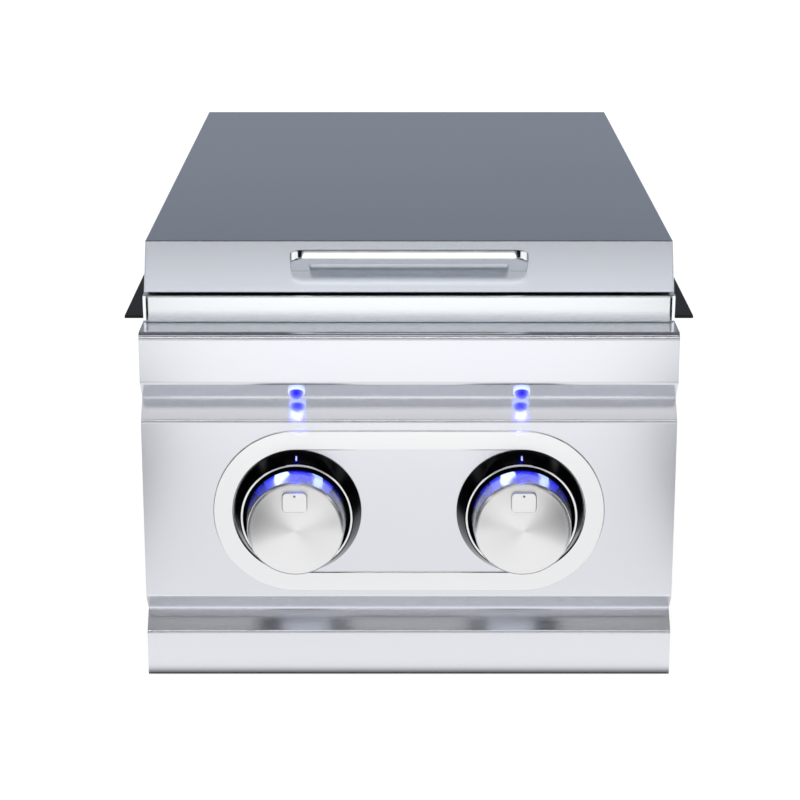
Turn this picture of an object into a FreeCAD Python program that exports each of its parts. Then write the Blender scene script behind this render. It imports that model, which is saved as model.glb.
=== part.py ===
import FreeCAD, Part
import Sketcher
import os
import re
from math import atan2, degrees

# Two-burner side burner for an outdoor kitchen, in millimetres.
# X runs to the right, Y to the back, Z up. The origin lies on the floor under the middle of the
# whole depth, so every sub-part is placed from front_y, the Y of the control panel's flat face.

DRIVING_SIZES = [
    ("panel_width", "343", "control panel and rim, side to side"),
    ("panel_height", "232", "control panel, floor to ledge"),
    ("body_depth", "597", "panel face to the back of the rim"),
    ("sheet_gauge", "1.2", "stainless sheet of panel, rim and box"),
    ("band_height", "30", "flat band under the lower groove"),
    ("nose_height", "33", "plain nose above the upper groove"),
    ("groove_height", "25", "each V groove, lip to lip"),
    ("groove_depth", "12", "each V groove, face to bend"),
    ("nose_radius", "5", "bend between the nose and the ledge"),
    ("panel_return", "13.5", "foot folded back under the panel"),
    ("ledge_tuck", "6", "panel's ledge behind the rim's front sheet"),
    ("emboss_margin", "54.4", "knob axis to the end of the raised track"),
    ("emboss_height", "108.8", "raised track, top to bottom"),
    ("emboss_band", "12.8", "width of the raised track"),
    ("emboss_drop", "0.9", "middle of the flat face to the knobs' and track's middle"),
    ("emboss_rise", "1.5", "how far the track stands proud"),
    ("knob_spacing", "144", "between the two knob axes"),
    ("rim_setback", "28", "rim's front behind the panel face"),
    ("rim_height", "18", "rim, ledge to top"),
    ("rim_corner_radius", "7", "rim's upright corners"),
    ("rim_edge_radius", "3", "rim's bend from top to side"),
    ("rim_land", "26", "rim's top at the front and sides"),
    ("rim_back_land", "46", "rim's top behind the opening"),
    ("rim_lip", "14", "rim's inner skirt"),
    ("lid_inset", "1.25", "lid's side inside the rim's side"),
    ("lid_offset", "0.5", "lid's front edge behind the rim's front"),
    ("lid_back_land", "24.5", "lid's back to the rim's back"),
    ("lid_height", "30.5", "lid, lower edge to top"),
    ("lid_slope", "28", "lean of the lid's front face from upright"),
    ("lid_gauge", "1.2", "lid sheet"),
    ("lid_gap", "2", "air between lid and rim"),
    ("lid_radius", "3", "lid's outer bends"),
    ("lid_hem", "10", "hem folded inwards along the lid's lower edge"),
    ("handle_length", "152", "handle, end to end"),
    ("handle_standoff", "29", "lid face to the handle's front"),
    ("handle_bar", "13", "depth of the handle's bar and legs"),
    ("handle_thickness", "6.5", "thickness of the handle"),
    ("handle_radius", "10", "handle's outer corners"),
    ("rail_flange", "33", "hanger rails' shelf, from the box outwards"),
    ("rail_setback", "20", "rails' front behind the rim's front"),
    ("rail_back_land", "44", "rails' back end to the rim's back"),
    ("rail_gauge", "2", "hanger rail steel"),
    ("rail_leg", "24", "upright leg of the hanger rails"),
    ("box_room", "7", "side of the rim's opening to the box's side"),
    ("box_back_land", "30", "burner box's back wall to the rim's back"),
    ("vent_length", "50", "each vent in the box's floor"),
    ("vent_width", "8", "each vent, front to back"),
    ("vent_start", "60", "partition to the first row of vents"),
    ("vent_end", "55", "last row of vents to the box's back"),
    ("vent_rows", "5", "rows of vents"),
    ("ledge_width", "15", "box's inward ledge that carries the tray"),
    ("tray_gap", "1", "air between tray and rim opening"),
    ("tray_depth", "18", "spill tray"),
    ("tray_gauge", "0.8", "spill tray and grate sheet"),
    ("tray_flange", "9", "spill tray's rim"),
    ("partition_setback", "84", "partition behind the panel face"),
    ("valve_length", "36", "valve body"),
    ("valve_radius", "12", "valve body"),
    ("valve_setback", "16", "valve body's front behind the panel face"),
    ("saddle_length", "30", "valve's clamp along the gas pipe"),
    ("saddle_depth", "26", "valve's clamp, front to back"),
    ("saddle_cover", "3", "valve's clamp above the gas pipe"),
    ("gas_way_radius", "3", "gas passages in valves and pipe"),
    ("bonnet_length", "8", "valve bonnet"),
    ("bonnet_radius", "9", "valve bonnet's neck"),
    ("stem_radius", "4", "valve stem"),
    ("stem_flat", "2.6", "stem axis to its flat"),
    ("tongue_width", "2", "stem's tongue, side to side"),
    ("tongue_height", "6", "stem's tongue, top to bottom"),
    ("tongue_gap", "0.15", "air between tongue and the plug's slot, side to side"),
    ("collar_length", "2", "stem's collar"),
    ("running_gap", "0.05", "radial clearance of shafts in holes"),
    ("push_travel", "3.5", "how far a knob is pushed in"),
    ("plug_radius", "8.5", "tapered valve plug's large end"),
    ("plug_taper", "1.5", "loss of plug radius along its length"),
    ("plug_length", "22", "valve plug"),
    ("spring_length", "7", "stem spring at rest"),
    ("spring_wire", "0.9", "stem spring's flat wire"),
    ("spring_radius", "5.9", "stem spring, mean"),
    ("knob_radius", "30", "knob's front edge"),
    ("knob_back_radius", "32.4", "knob's back edge"),
    ("knob_reach", "41.5", "knob's face in front of the panel face"),
    ("knob_back", "7", "knob's back edge in front of the panel face"),
    ("knob_wall", "2.4", "knob shell"),
    ("knob_crown", "1.6", "bulge of the knob's face"),
    ("knob_edge_radius", "3", "rounding of the knob's face edge"),
    ("hub_seat", "8", "knob's face to the end of the stem"),
    ("hub_radius", "8", "knob's hub"),
    ("pad_width", "16", "raised pointer pad on the knob"),
    ("pad_height", "13", "raised pointer pad, along the knob's radius"),
    ("pad_offset", "19.3", "knob axis to the pad's middle"),
    ("pad_rise", "1.6", "pointer pad above the knob's face"),
    ("bezel_radius", "41.3", "bezel at the panel"),
    ("bezel_lip_radius", "36.2", "bezel at its front lip"),
    ("bezel_bore", "34", "bezel's inner radius"),
    ("bezel_reach", "14", "bezel's lip in front of the panel face"),
    ("bezel_floor", "2", "bezel's floor plate"),
    ("bezel_screw_circle", "17", "bezel screws from the knob axis"),
    ("screw_radius", "2", "small machine screws"),
    ("screw_head", "3.6", "small screw heads, radius"),
    ("lamp_radius", "4.8", "lamp's flange"),
    ("lamp_body_radius", "3.4", "lamp's barrel"),
    ("lens_radius", "2.6", "lamp's lens"),
    ("lamp_wire_hole", "0.8", "hole along the lamp's barrel, radius"),
    ("lamp_reach", "3.2", "lamp's dome in front of the sheet"),
    ("lamp_depth", "14", "lamp's barrel behind the sheet"),
    ("manifold_radius", "10.6", "gas manifold pipe"),
    ("manifold_wall", "2.3", "gas manifold pipe's wall"),
    ("manifold_drop", "24", "valve axis to manifold axis"),
    ("manifold_bend", "26", "manifold's bend, on its axis"),
    ("manifold_inset", "26.5", "box's side to the supply run's axis"),
    ("tube_radius", "13", "burner mixing tube"),
    ("tube_wall", "1.5", "burner mixing tube's wall"),
    ("tube_bend", "45", "mixing tube's bend, on its axis"),
    ("mouth_setback", "64", "mixing tubes' mouth behind the panel face"),
    ("shutter_wall", "1.4", "air shutter sleeve"),
    ("shutter_length", "16", "air shutter sleeve"),
    ("window_width", "10", "mixing tube's air window, side to side"),
    ("window_start", "4", "mixing tube's mouth to its air window"),
    ("window_length", "10", "mixing tube's air window, front to back"),
    ("window_margin", "0.5", "shutter's window around the tube's"),
    ("riser_radius", "17", "riser under each burner"),
    ("burner_radius", "38", "burner bowl"),
    ("burner_wall", "4", "burner casting"),
    ("bowl_depth", "20", "burner bowl"),
    ("burner_collar", "7", "how far the bowl's edge rises over the tray floor"),
    ("cap_radius", "34", "burner cap"),
    ("cap_height", "9", "burner cap's skirt"),
    ("cap_crown", "4", "burner cap's dome"),
    ("cap_wall", "3", "burner cap's skirt, thickness"),
    ("port_count", "24", "flame ports in a cap"),
    ("port_width", "2.2", "flame port"),
    ("port_lift", "1.5", "bowl's edge to the flame ports"),
    ("grate_gap", "3", "between the two cooking grates"),
    ("grate_room", "5", "side of the rim's opening to a grate"),
    ("grate_front_room", "15", "front of the rim's opening to the front grate"),
    ("grate_back_room", "7", "back of the rim's opening to the rear grate"),
    ("foot_inset", "14.2", "grate's edge to the axis of its feet"),
    ("finger_slope", "3", "run of a grate finger's slanted end"),
    ("grate_bar", "9", "grate bar"),
    ("grate_height", "12", "grate bar, top to bottom"),
    ("grate_rise", "13", "grate's top above the rim"),
    ("grate_eye", "34", "open radius at the grate's middle"),
    ("foot_radius", "4", "grate feet"),
    ("electrode_radius", "1.2", "electrode wire"),
    ("insulator_radius", "3.4", "electrode's ceramic"),
    ("electrode_offset", "45", "burner axis to its electrode"),
    ("strap_drop", "34", "tray floor to the foot of the electrode"),
    ("strap_height", "9", "electrode strap, top to bottom"),
    ("strap_gauge", "1.5", "electrode strap"),
    ("strap_lift", "2", "electrode's foot to its strap"),
    ("inlet_radius", "7.94", "gas inlet thread"),
    ("inlet_length", "16", "gas inlet thread"),
    ("hinge_length", "42", "each lid hinge"),
    ("hinge_spacing", "200", "between the lid hinges"),
    ("hinge_pin_radius", "2", "lid hinge pins"),
    ("hinge_barrel", "4", "lid hinge knuckles, radius"),
    ("leaf_gauge", "1.5", "hinge leaves"),
    ("leaf_width", "14", "hinge leaves"),
    ("bumper_radius", "4", "silicone lid bumpers"),
]

doc = FreeCAD.newDocument("SideBurner")
sheet = doc.addObject("Spreadsheet::Sheet", "Sizes")
for row, (name, text, note) in enumerate(DRIVING_SIZES, 1):
    sheet.set(f"A{row}", note)
    sheet.set(f"B{row}", text)
    sheet.setAlias(f"B{row}", name)

# Places that several sub-parts share, each worked out from the driving sizes.
SHARED_PLACES = [
    ("front_y", "-(body_depth - knob_reach) / 2"),
    ("rim_length", "body_depth - rim_setback"),
    ("rim_top", "panel_height + rim_height"),
    ("lid_floor", "rim_top + lid_gap"),
    ("lid_front", "rim_setback + lid_offset"),
    ("lid_back", "body_depth - lid_back_land"),
    ("lid_width", "panel_width - 2 * lid_inset"),
    ("emboss_width", "knob_spacing + 2 * emboss_margin"),
    ("lid_lean", "lid_height * tan(lid_slope)"),
    ("knob_height", "band_height + groove_height + (panel_height - band_height - nose_height"
     " - 2 * groove_height) / 2 - emboss_drop"),
    ("upper_bend", "panel_height - nose_height - groove_height / 2"),
    ("lower_bend", "band_height + groove_height / 2"),
    ("groove_lean", "atan(2 * groove_depth / groove_height)"),
    ("box_front", "groove_depth + sheet_gauge / cos(groove_lean) + 1"),
    ("box_top", "panel_height - rail_gauge"),
    ("box_back", "body_depth - box_back_land"),
    ("vent_pitch", "(box_back - partition_setback - vent_start - vent_end - vent_width)"
     " / (vent_rows - 1)"),
    ("rail_front", "rim_setback + rail_setback"),
    ("rail_length", "body_depth - rail_back_land - rail_front"),
    ("opening_half", "panel_width / 2 - rim_land"),
    ("box_width", "2 * (opening_half + box_room)"),
    ("rail_span", "box_width + 2 * rail_flange"),
    ("manifold_side", "box_width / 2 - manifold_inset"),
    ("grate_width", "2 * (opening_half - grate_room)"),
    ("opening_front", "rim_setback + rim_land"),
    ("opening_back", "body_depth - rim_back_land"),
    ("grate_depth", "(opening_back - opening_front - grate_front_room - grate_back_room"
     " - grate_gap) / 2"),
    ("front_burner_setback", "opening_front + grate_front_room + grate_depth / 2"),
    ("rear_burner_setback", "opening_back - grate_back_room - grate_depth / 2"),
    ("tray_half", "opening_half - sheet_gauge - tray_gap"),
    ("tray_front", "opening_front + sheet_gauge + tray_gap"),
    ("tray_back", "opening_back - sheet_gauge - tray_gap"),
    ("tray_floor", "box_top - tray_depth"),
    ("manifold_height", "knob_height - manifold_drop"),
    ("manifold_line", "valve_setback + valve_length / 2"),
    ("bowl_top", "tray_floor + tray_gauge + burner_collar"),
    ("bowl_floor", "bowl_top - bowl_depth"),
    ("hinge_line", "lid_back + hinge_barrel + 0.5"),
    ("hinge_height", "rim_top + hinge_barrel + 0.4"),
    ("grate_top", "rim_top + grate_rise"),
]
for row, (name, formula) in enumerate(SHARED_PLACES, 1):
    sheet.set(f"D{row}", "=" + formula)
    sheet.setAlias(f"D{row}", name)
doc.recompute()

ALIASES = [entry[0] for entry in DRIVING_SIZES + SHARED_PLACES]
ALIAS_PATTERN = re.compile(r"\b(" + "|".join(ALIASES) + r")\b")
SUB_PARTS = []
PANEL_SCREWS = []
ELECTRODE_STRAPS = []
LEFT, RIGHT = "-knob_spacing / 2", "knob_spacing / 2"
ALONG_X = FreeCAD.Rotation(FreeCAD.Vector(0, 1, 0), 90)
ALONG_Y = FreeCAD.Rotation(FreeCAD.Vector(1, 0, 0), -90)
ALONG_Z = FreeCAD.Rotation()


def linked(formula):
    return ALIAS_PATTERN.sub(r"Sizes.\1", str(formula))


def number(formula):
    value = sheet.evalExpression(str(formula))
    return float(getattr(value, "Value", value))


def bind(feature, prop, formula):
    feature.setExpression(prop, linked(formula))


def place(feature, x="0", y="0", z="0", turn=ALONG_Z):
    """Turn a feature and bind its base point; y is measured from the panel's face."""
    feature.Placement = FreeCAD.Placement(FreeCAD.Vector(), turn)
    bind(feature, ".Placement.Base.x", x)
    bind(feature, ".Placement.Base.y", f"front_y + ({y})")
    bind(feature, ".Placement.Base.z", z)
    return feature


def keep(feature, label):
    feature.Label = label
    SUB_PARTS.append(feature)
    return feature


def block(name, x, y, z):
    """A box between two bounds on each axis."""
    box = doc.addObject("Part::Box", name)
    for prop, (low, high) in zip(("Length", "Width", "Height"), (x, y, z)):
        bind(box, prop, f"({high}) - ({low})")
    return place(box, x[0], y[0], z[0])


def rod(name, radius, length, x, y, z, turn=ALONG_Y):
    cylinder = doc.addObject("Part::Cylinder", name)
    bind(cylinder, "Radius", radius)
    bind(cylinder, "Height", length)
    return place(cylinder, x, y, z, turn)


def cone(name, start_radius, end_radius, length, x, y, z, turn=ALONG_Y):
    taper = doc.addObject("Part::Cone", name)
    bind(taper, "Radius1", start_radius)
    bind(taper, "Radius2", end_radius)
    bind(taper, "Height", length)
    return place(taper, x, y, z, turn)


def join(name, shapes):
    fused = doc.addObject("Part::MultiFuse", name)
    fused.Shapes = shapes
    return fused


def group(name, shapes):
    """Like pieces that share one node and stay separate solids."""
    held = doc.addObject("Part::Compound", name)
    held.Links = shapes
    return held


def cut(name, base, tools):
    removed = tools[0] if len(tools) == 1 else join(name + "Tools", tools)
    result = doc.addObject("Part::Cut", name)
    result.Base = base
    result.Tool = removed
    return result


def tapered_off(name, base, size, keep_edge, kind="Part::Fillet"):
    """Round or chamfer the edges of a shape for which keep_edge is true."""
    doc.recompute()
    rounded = doc.addObject(kind, name)
    rounded.Base = base
    picked = [i for i, edge in enumerate(base.Shape.Edges, 1) if keep_edge(edge)]
    amount = number(size)
    rounded.Edges = [(i, amount, amount) for i in picked]
    return rounded


def origin_plane(body, role):
    return next(f for f in body.Origin.OriginFeatures if f.Role == role)


def new_body(name):
    return doc.addObject("PartDesign::Body", name)


def new_sketch(body, name, role, offset=None):
    sketch = body.newObject("Sketcher::SketchObject", name)
    sketch.AttachmentSupport = [(origin_plane(body, role), "")]
    sketch.MapMode = "FlatFace"
    if offset is not None:
        bind(sketch, ".AttachmentOffset.Base.z", offset)
    return sketch


def pin_point(sketch, geometry, position, x, y):
    """Fix one point of a sketch at formulas for its two coordinates."""
    for kind, formula in (("DistanceX", x), ("DistanceY", y)):
        index = sketch.addConstraint(
            Sketcher.Constraint(kind, -1, 1, geometry, position, number(formula))
        )
        name = f"{kind[-1]}{index}"
        sketch.renameConstraint(index, name)
        bind(sketch, f"Constraints.{name}", formula)


def outline(sketch, points):
    """Close a profile through points; a point with four values ends an arc that passes its first two."""
    corners = [FreeCAD.Vector(number(p[-2]), number(p[-1]), 0) for p in points]
    sides = []
    for i, point in enumerate(points):
        start, end = corners[i - 1], corners[i]
        if len(point) == 2:
            sides.append(sketch.addGeometry(Part.LineSegment(start, end), False))
            continue
        middle = FreeCAD.Vector(number(point[0]), number(point[1]), 0)
        sides.append(sketch.addGeometry(Part.Arc(start, middle, end), False))
    ends = []
    for side, start in zip(sides, [corners[i - 1] for i in range(len(corners))]):
        first = sketch.getPoint(side, 1)
        ends.append((1, 2) if first.distanceToPoint(start) < 1e-6 else (2, 1))
    for i, side in enumerate(sides):
        previous = i - 1
        sketch.addConstraint(
            Sketcher.Constraint("Coincident", sides[previous], ends[previous][1], side, ends[i][0])
        )
        pin_point(sketch, side, ends[i][1], points[i][-2], points[i][-1])
        if len(points[i]) == 4:
            via = FreeCAD.Vector(number(points[i][0]), number(points[i][1]), 0)
            mark = sketch.addGeometry(Part.Point(via), True)
            pin_point(sketch, mark, 1, points[i][0], points[i][1])
            sketch.addConstraint(Sketcher.Constraint("PointOnObject", mark, 1, side))
    return sketch


def circle(sketch, radius, x="0", y="0"):
    centre = FreeCAD.Vector(number(x), number(y), 0)
    ring = sketch.addGeometry(
        Part.Circle(centre, FreeCAD.Vector(0, 0, 1), number(radius)), False
    )
    pin_point(sketch, ring, 3, x, y)
    index = sketch.addConstraint(Sketcher.Constraint("Radius", ring, number(radius)))
    sketch.renameConstraint(index, f"R{index}")
    bind(sketch, f"Constraints.R{index}", radius)
    return sketch


def obround(sketch, half_length, radius, x="0", y="0"):
    """A stadium outline whose straight sides run along the sketch's X."""
    left = f"({x}) - ({half_length})"
    right = f"({x}) + ({half_length})"
    top = f"({y}) + ({radius})"
    bottom = f"({y}) - ({radius})"
    return outline(sketch, [
        (f"{right} - ({radius})", bottom),
        (right, y, f"{right} - ({radius})", top),
        (f"{left} + ({radius})", top),
        (left, y, f"{left} + ({radius})", bottom),
    ])


def pad(body, name, sketch, length, both_ways=False, backwards=False):
    feature = body.newObject("PartDesign::Pad", name)
    feature.Profile = sketch
    bind(feature, "Length", length)
    feature.Midplane = both_ways
    feature.Reversed = backwards
    doc.recompute()
    return feature


def pocket(body, name, sketch, length=None, both_ways=False, backwards=False):
    """Cut a sketch into the body, and stop if the cut removes nothing."""
    before = body.Tip.Shape.Volume
    feature = body.newObject("PartDesign::Pocket", name)
    feature.Profile = sketch
    if length is None:
        feature.Type = "ThroughAll"
    else:
        bind(feature, "Length", length)
    feature.Midplane = both_ways
    feature.Reversed = backwards
    doc.recompute()
    if not feature.Shape.Volume < before - 1e-6:
        raise RuntimeError(f"{name} cuts nothing")
    return feature


def turned(name, profile, role="XY_Plane"):
    """A body of revolution about Y, or about Z when the profile is drawn on XZ_Plane."""
    body = new_body(name)
    sketch = outline(new_sketch(body, name + "Profile", role), profile)
    feature = body.newObject("PartDesign::Revolution", name + "Turned")
    feature.Profile = sketch
    feature.ReferenceAxis = (sketch, ["V_Axis"])
    feature.Angle = 360
    doc.recompute()
    return body


def fillet(body, name, radius, keep_edge):
    base = body.Tip
    picked = [f"Edge{i}" for i, edge in enumerate(base.Shape.Edges, 1) if keep_edge(edge)]
    feature = body.newObject("PartDesign::Fillet", name)
    feature.Base = (base, picked)
    bind(feature, "Radius", radius)
    doc.recompute()
    return feature


def runs_along(edge, letter):
    """True for a straight edge along the X, Y or Z axis."""
    if not isinstance(edge.Curve, Part.Line):
        return False
    return abs(getattr(edge.tangentAt(edge.FirstParameter), letter)) > 0.999


def near(value, formula, slack=0.05):
    return abs(value - number(formula)) < slack


def control_panel():
    """One folded sheet: foot, band, groove, flat face, groove, nose and ledge."""
    body = new_body("ControlPanel")
    inset = "sheet_gauge * tan(groove_lean / 2)"
    bend_back = "groove_depth + sheet_gauge / cos(groove_lean)"
    upper_low = "panel_height - nose_height - groove_height"
    upper_high = "panel_height - nose_height"
    lower_high = "band_height + groove_height"
    ledge_back = "rim_setback + sheet_gauge + ledge_tuck"
    sketch = new_sketch(body, "PanelProfile", "YZ_Plane")
    outline(sketch, [
        ("panel_return", "0"),
        ("0", "0"),
        ("0", "band_height"),
        ("groove_depth", "lower_bend"),
        ("0", lower_high),
        ("0", upper_low),
        ("groove_depth", "upper_bend"),
        ("0", upper_high),
        ("0", "panel_height"),
        (ledge_back, "panel_height"),
        (ledge_back, "panel_height - sheet_gauge"),
        ("sheet_gauge", "panel_height - sheet_gauge"),
        ("sheet_gauge", f"{upper_high} + {inset}"),
        (bend_back, "upper_bend"),
        ("sheet_gauge", f"{upper_low} - {inset}"),
        ("sheet_gauge", f"{lower_high} + {inset}"),
        (bend_back, "lower_bend"),
        ("sheet_gauge", f"band_height - {inset}"),
        ("sheet_gauge", "sheet_gauge"),
        ("panel_return", "sheet_gauge"),
    ])
    pad(body, "PanelFold", sketch, "panel_width", both_ways=True)

    def nose_inside(edge):
        low = edge.BoundBox
        inner = "panel_height - sheet_gauge"
        return runs_along(edge, "x") and near(low.YMax, "sheet_gauge") and near(low.ZMin, inner)

    fillet(body, "NoseInside", "nose_radius - sheet_gauge", nose_inside)

    def nose_edge(edge):
        low = edge.BoundBox
        return runs_along(edge, "x") and near(low.YMax, "0") and near(low.ZMin, "panel_height")

    fillet(body, "NoseBend", "nose_radius", nose_edge)

    track = new_sketch(body, "TrackOutline", "XZ_Plane")
    obround(track, "emboss_width / 2", "emboss_height / 2", y="knob_height")
    obround(track, "emboss_width / 2 - emboss_band", "emboss_height / 2 - emboss_band",
            y="knob_height")
    pad(body, "Track", track, "emboss_rise")
    hollow = new_sketch(body, "TrackHollow", "XZ_Plane", "-sheet_gauge")
    obround(hollow, "emboss_width / 2 - sheet_gauge", "emboss_height / 2 - sheet_gauge",
            y="knob_height")
    obround(hollow, "emboss_width / 2 - emboss_band + sheet_gauge",
            "emboss_height / 2 - emboss_band + sheet_gauge", y="knob_height")
    pocket(body, "TrackPressed", hollow, "emboss_rise", backwards=True)

    holes = new_sketch(body, "StemHoles", "XZ_Plane")
    for side in (LEFT, RIGHT):
        circle(holes, "bonnet_radius + 1", side, "knob_height")
        for way in ("-", ""):
            circle(holes, "screw_radius", f"{side} + {way}bezel_screw_circle", "knob_height")
    pocket(body, "StemHolesCut", holes, both_ways=True)
    place(body)
    drills = [
        rod(f"LampDrill{i}", "lamp_body_radius", "lamp_depth * 2", side,
            "groove_depth / 2 + lamp_depth * cos(groove_lean)",
            "upper_bend + groove_height / 4 + lamp_depth * sin(groove_lean)", lamp_turn())
        for i, side in enumerate((LEFT, RIGHT))
    ]
    keep(cut("PanelDrilled", body, drills), "control_panel")


def lamp_turn():
    """The lamps stand square on the upper groove's upper slope and look forward and down."""
    lean = number("groove_lean")
    return FreeCAD.Rotation(FreeCAD.Vector(1, 0, 0), 90 + lean)


def panel_ends():
    """Plates that close the folded panel at each end."""
    inset = "sheet_gauge * tan(groove_lean / 2)"
    bend_back = "groove_depth + sheet_gauge / cos(groove_lean)"
    for side, x in (("left", "-panel_width / 2"), ("right", "panel_width / 2 - sheet_gauge")):
        body = new_body("PanelEnd" + side)
        sketch = new_sketch(body, "EndOutline" + side, "YZ_Plane")
        upper_low = f"panel_height - nose_height - groove_height - {inset}"
        inner_radius = "(nose_radius - sheet_gauge)"
        middle = f"sheet_gauge + {inner_radius} * (1 - cos(45))"
        outline(sketch, [
            ("sheet_gauge", "sheet_gauge"),
            ("sheet_gauge", f"band_height - {inset}"),
            (bend_back, "lower_bend"),
            ("sheet_gauge", f"band_height + groove_height + {inset}"),
            ("sheet_gauge", upper_low),
            (bend_back, "upper_bend"),
            ("sheet_gauge", f"panel_height - nose_height + {inset}"),
            ("sheet_gauge", "panel_height - nose_radius"),
            (middle, f"panel_height - ({middle})", "nose_radius", "panel_height - sheet_gauge"),
            ("rim_setback + sheet_gauge", "panel_height - sheet_gauge"),
            ("rim_setback + sheet_gauge", "sheet_gauge"),
        ])
        pad(body, "EndPlate" + side, sketch, "sheet_gauge")
        place(body, x)
        keep(body, "panel_end_" + side)


def top_frame():
    """The pressed rim: outer skirt, flat top and inner skirt around the cooking opening."""
    outer = block("RimOuter", ("-panel_width / 2", "panel_width / 2"),
                  ("rim_setback", "body_depth"), ("panel_height", "rim_top"))
    upright = tapered_off("RimCorners", outer, "rim_corner_radius",
                          lambda edge: runs_along(edge, "z"))
    rounded = tapered_off("RimEdge", upright, "rim_edge_radius",
                          lambda edge: near(edge.BoundBox.ZMin, "rim_top"))
    hollow_block = block("RimInner", ("-panel_width / 2 + sheet_gauge", "panel_width / 2 - sheet_gauge"),
                         ("rim_setback + sheet_gauge", "body_depth - sheet_gauge"),
                         ("panel_height - 1", "rim_top - sheet_gauge"))
    hollow = tapered_off("RimHollow", hollow_block, "rim_corner_radius - sheet_gauge",
                         lambda edge: runs_along(edge, "z"))
    shell = cut("RimShell", rounded, [hollow])
    skirt = block("RimSkirt", ("-opening_half", "opening_half"), ("opening_front", "opening_back"),
                  ("rim_top - rim_lip", "rim_top"))
    opening = block("RimOpening", ("-opening_half + sheet_gauge", "opening_half - sheet_gauge"),
                    ("opening_front + sheet_gauge", "opening_back - sheet_gauge"),
                    ("panel_height - 2", "rim_top + 1"))
    keep(cut("RimFinished", join("RimJoined", [shell, skirt]), [opening]), "top_frame")


def burner_box():
    """The tub: floor, sides, back and an inward ledge, open at the front behind the panel."""
    wall = "sheet_gauge"
    outer = block("BoxOuter", ("-box_width / 2", "box_width / 2"), ("box_front", "box_back"),
                  ("0", "box_top"))
    hollow = block("BoxHollow", (f"-box_width / 2 + {wall}", f"box_width / 2 - {wall}"),
                   ("box_front - 1", f"box_back - {wall}"), (wall, f"box_top - {wall}"))
    ledge = "ledge_width + sheet_gauge"
    mouth = block("BoxMouth", (f"-box_width / 2 + {ledge}", f"box_width / 2 - ({ledge})"),
                  ("opening_front + 8", "opening_back - 8"), ("box_top - 3", "box_top + 1"))
    supply = rod("SupplyHole", "manifold_radius + 3", "sheet_gauge * 4", "manifold_side",
                 "box_back - sheet_gauge * 2", "manifold_height")
    slots = []
    for row in range(int(number("vent_rows"))):
        front = f"partition_setback + vent_start + {row} * vent_pitch"
        for side, middle in (("Left", "-box_width / 4"), ("Right", "box_width / 4")):
            slots.append(block(
                f"FloorVent{side}{row}", (f"{middle} - vent_length / 2", f"{middle} + vent_length / 2"),
                (front, f"{front} + vent_width"), ("-1", "sheet_gauge + 1")))
    keep(cut("BoxFinished", outer, [hollow, mouth, supply] + slots), "burner_box")


def hanger_rails():
    """Angle rails along the box that carry the whole burner on the edges of its cut-out."""
    y = ("rail_front", "rail_front + rail_length")
    for side, sign in (("left", "-1"), ("right", "1")):
        inner, outer = f"{sign} * box_width / 2", f"{sign} * rail_span / 2"
        leg = f"{inner} + ({sign}) * rail_gauge"
        low, high = (outer, inner) if sign == "-1" else (inner, outer)
        leg_x = (leg, inner) if sign == "-1" else (inner, leg)
        shelf = block("RailShelf" + side, (low, high), y, ("box_top", "panel_height"))
        upright = block("RailLeg" + side, leg_x, y, ("panel_height - rail_leg", "box_top"))
        keep(join("Rail" + side, [shelf, upright]), "hanger_rail_" + side)


def partition():
    """Upright sheet between the controls and the burners, with a hole for each tube and the pipe."""
    half = "box_width / 2 - sheet_gauge"
    plate = block("PartitionPlate", (f"-({half})", half),
                  ("partition_setback", "partition_setback + sheet_gauge"),
                  ("sheet_gauge", "tray_floor - 2"))
    foot = block("PartitionFoot", (f"-({half})", half),
                 ("partition_setback + sheet_gauge", "partition_setback + 14"),
                 ("sheet_gauge", "2 * sheet_gauge"))
    holes = [
        rod(f"TubeHole{i}", "tube_radius + 1", "6", side, "partition_setback - 2", "knob_height")
        for i, side in enumerate((LEFT, RIGHT))
    ]
    holes.append(rod("PipeHole", "manifold_radius + 1", "6", "manifold_side",
                     "partition_setback - 2", "manifold_height"))
    keep(cut("PartitionCut", join("PartitionSheet", [plate, foot]), holes), "heat_partition")


def spill_tray():
    """Pressed tray that lies on the box's ledge, with a raised collar around each burner."""
    flange = block("TrayFlange", ("-tray_half", "tray_half"), ("tray_front", "tray_back"),
                   ("box_top", "box_top + tray_gauge"))
    body_x = ("-tray_half + tray_flange", "tray_half - tray_flange")
    body_y = ("tray_front + tray_flange", "tray_back - tray_flange")
    well = block("TrayWell", body_x, body_y, ("tray_floor", "box_top"))
    shell = join("TraySolid", [flange, well])
    inner_x = ("-tray_half + tray_flange + tray_gauge", "tray_half - tray_flange - tray_gauge")
    inner_y = ("tray_front + tray_flange + tray_gauge", "tray_back - tray_flange - tray_gauge")
    hollow = block("TrayHollow", inner_x, inner_y, ("tray_floor + tray_gauge", "box_top + 5"))
    pressed = cut("TrayPressed", shell, [hollow])
    collars = [
        rod(f"TrayCollar{i}", "burner_radius + 1 + tray_gauge", "burner_collar - 1", "0", y,
            "tray_floor", ALONG_Z)
        for i, y in enumerate(("front_burner_setback", "rear_burner_setback"))
    ]
    holes = [
        rod(f"TrayHole{i}", "burner_radius + 1", "tray_depth * 2", "0", y, "tray_floor - 2", ALONG_Z)
        for i, y in enumerate(("front_burner_setback", "rear_burner_setback"))
    ]
    holes += [
        rod(f"TraySparkHole{i}", "insulator_radius + 0.8", "6", "-electrode_offset", y,
            "tray_floor - 2", ALONG_Z)
        for i, y in enumerate(("front_burner_setback", "rear_burner_setback"))
    ]
    keep(cut("TrayFinished", join("TrayCollared", [pressed] + collars), holes), "spill_tray")


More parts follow.
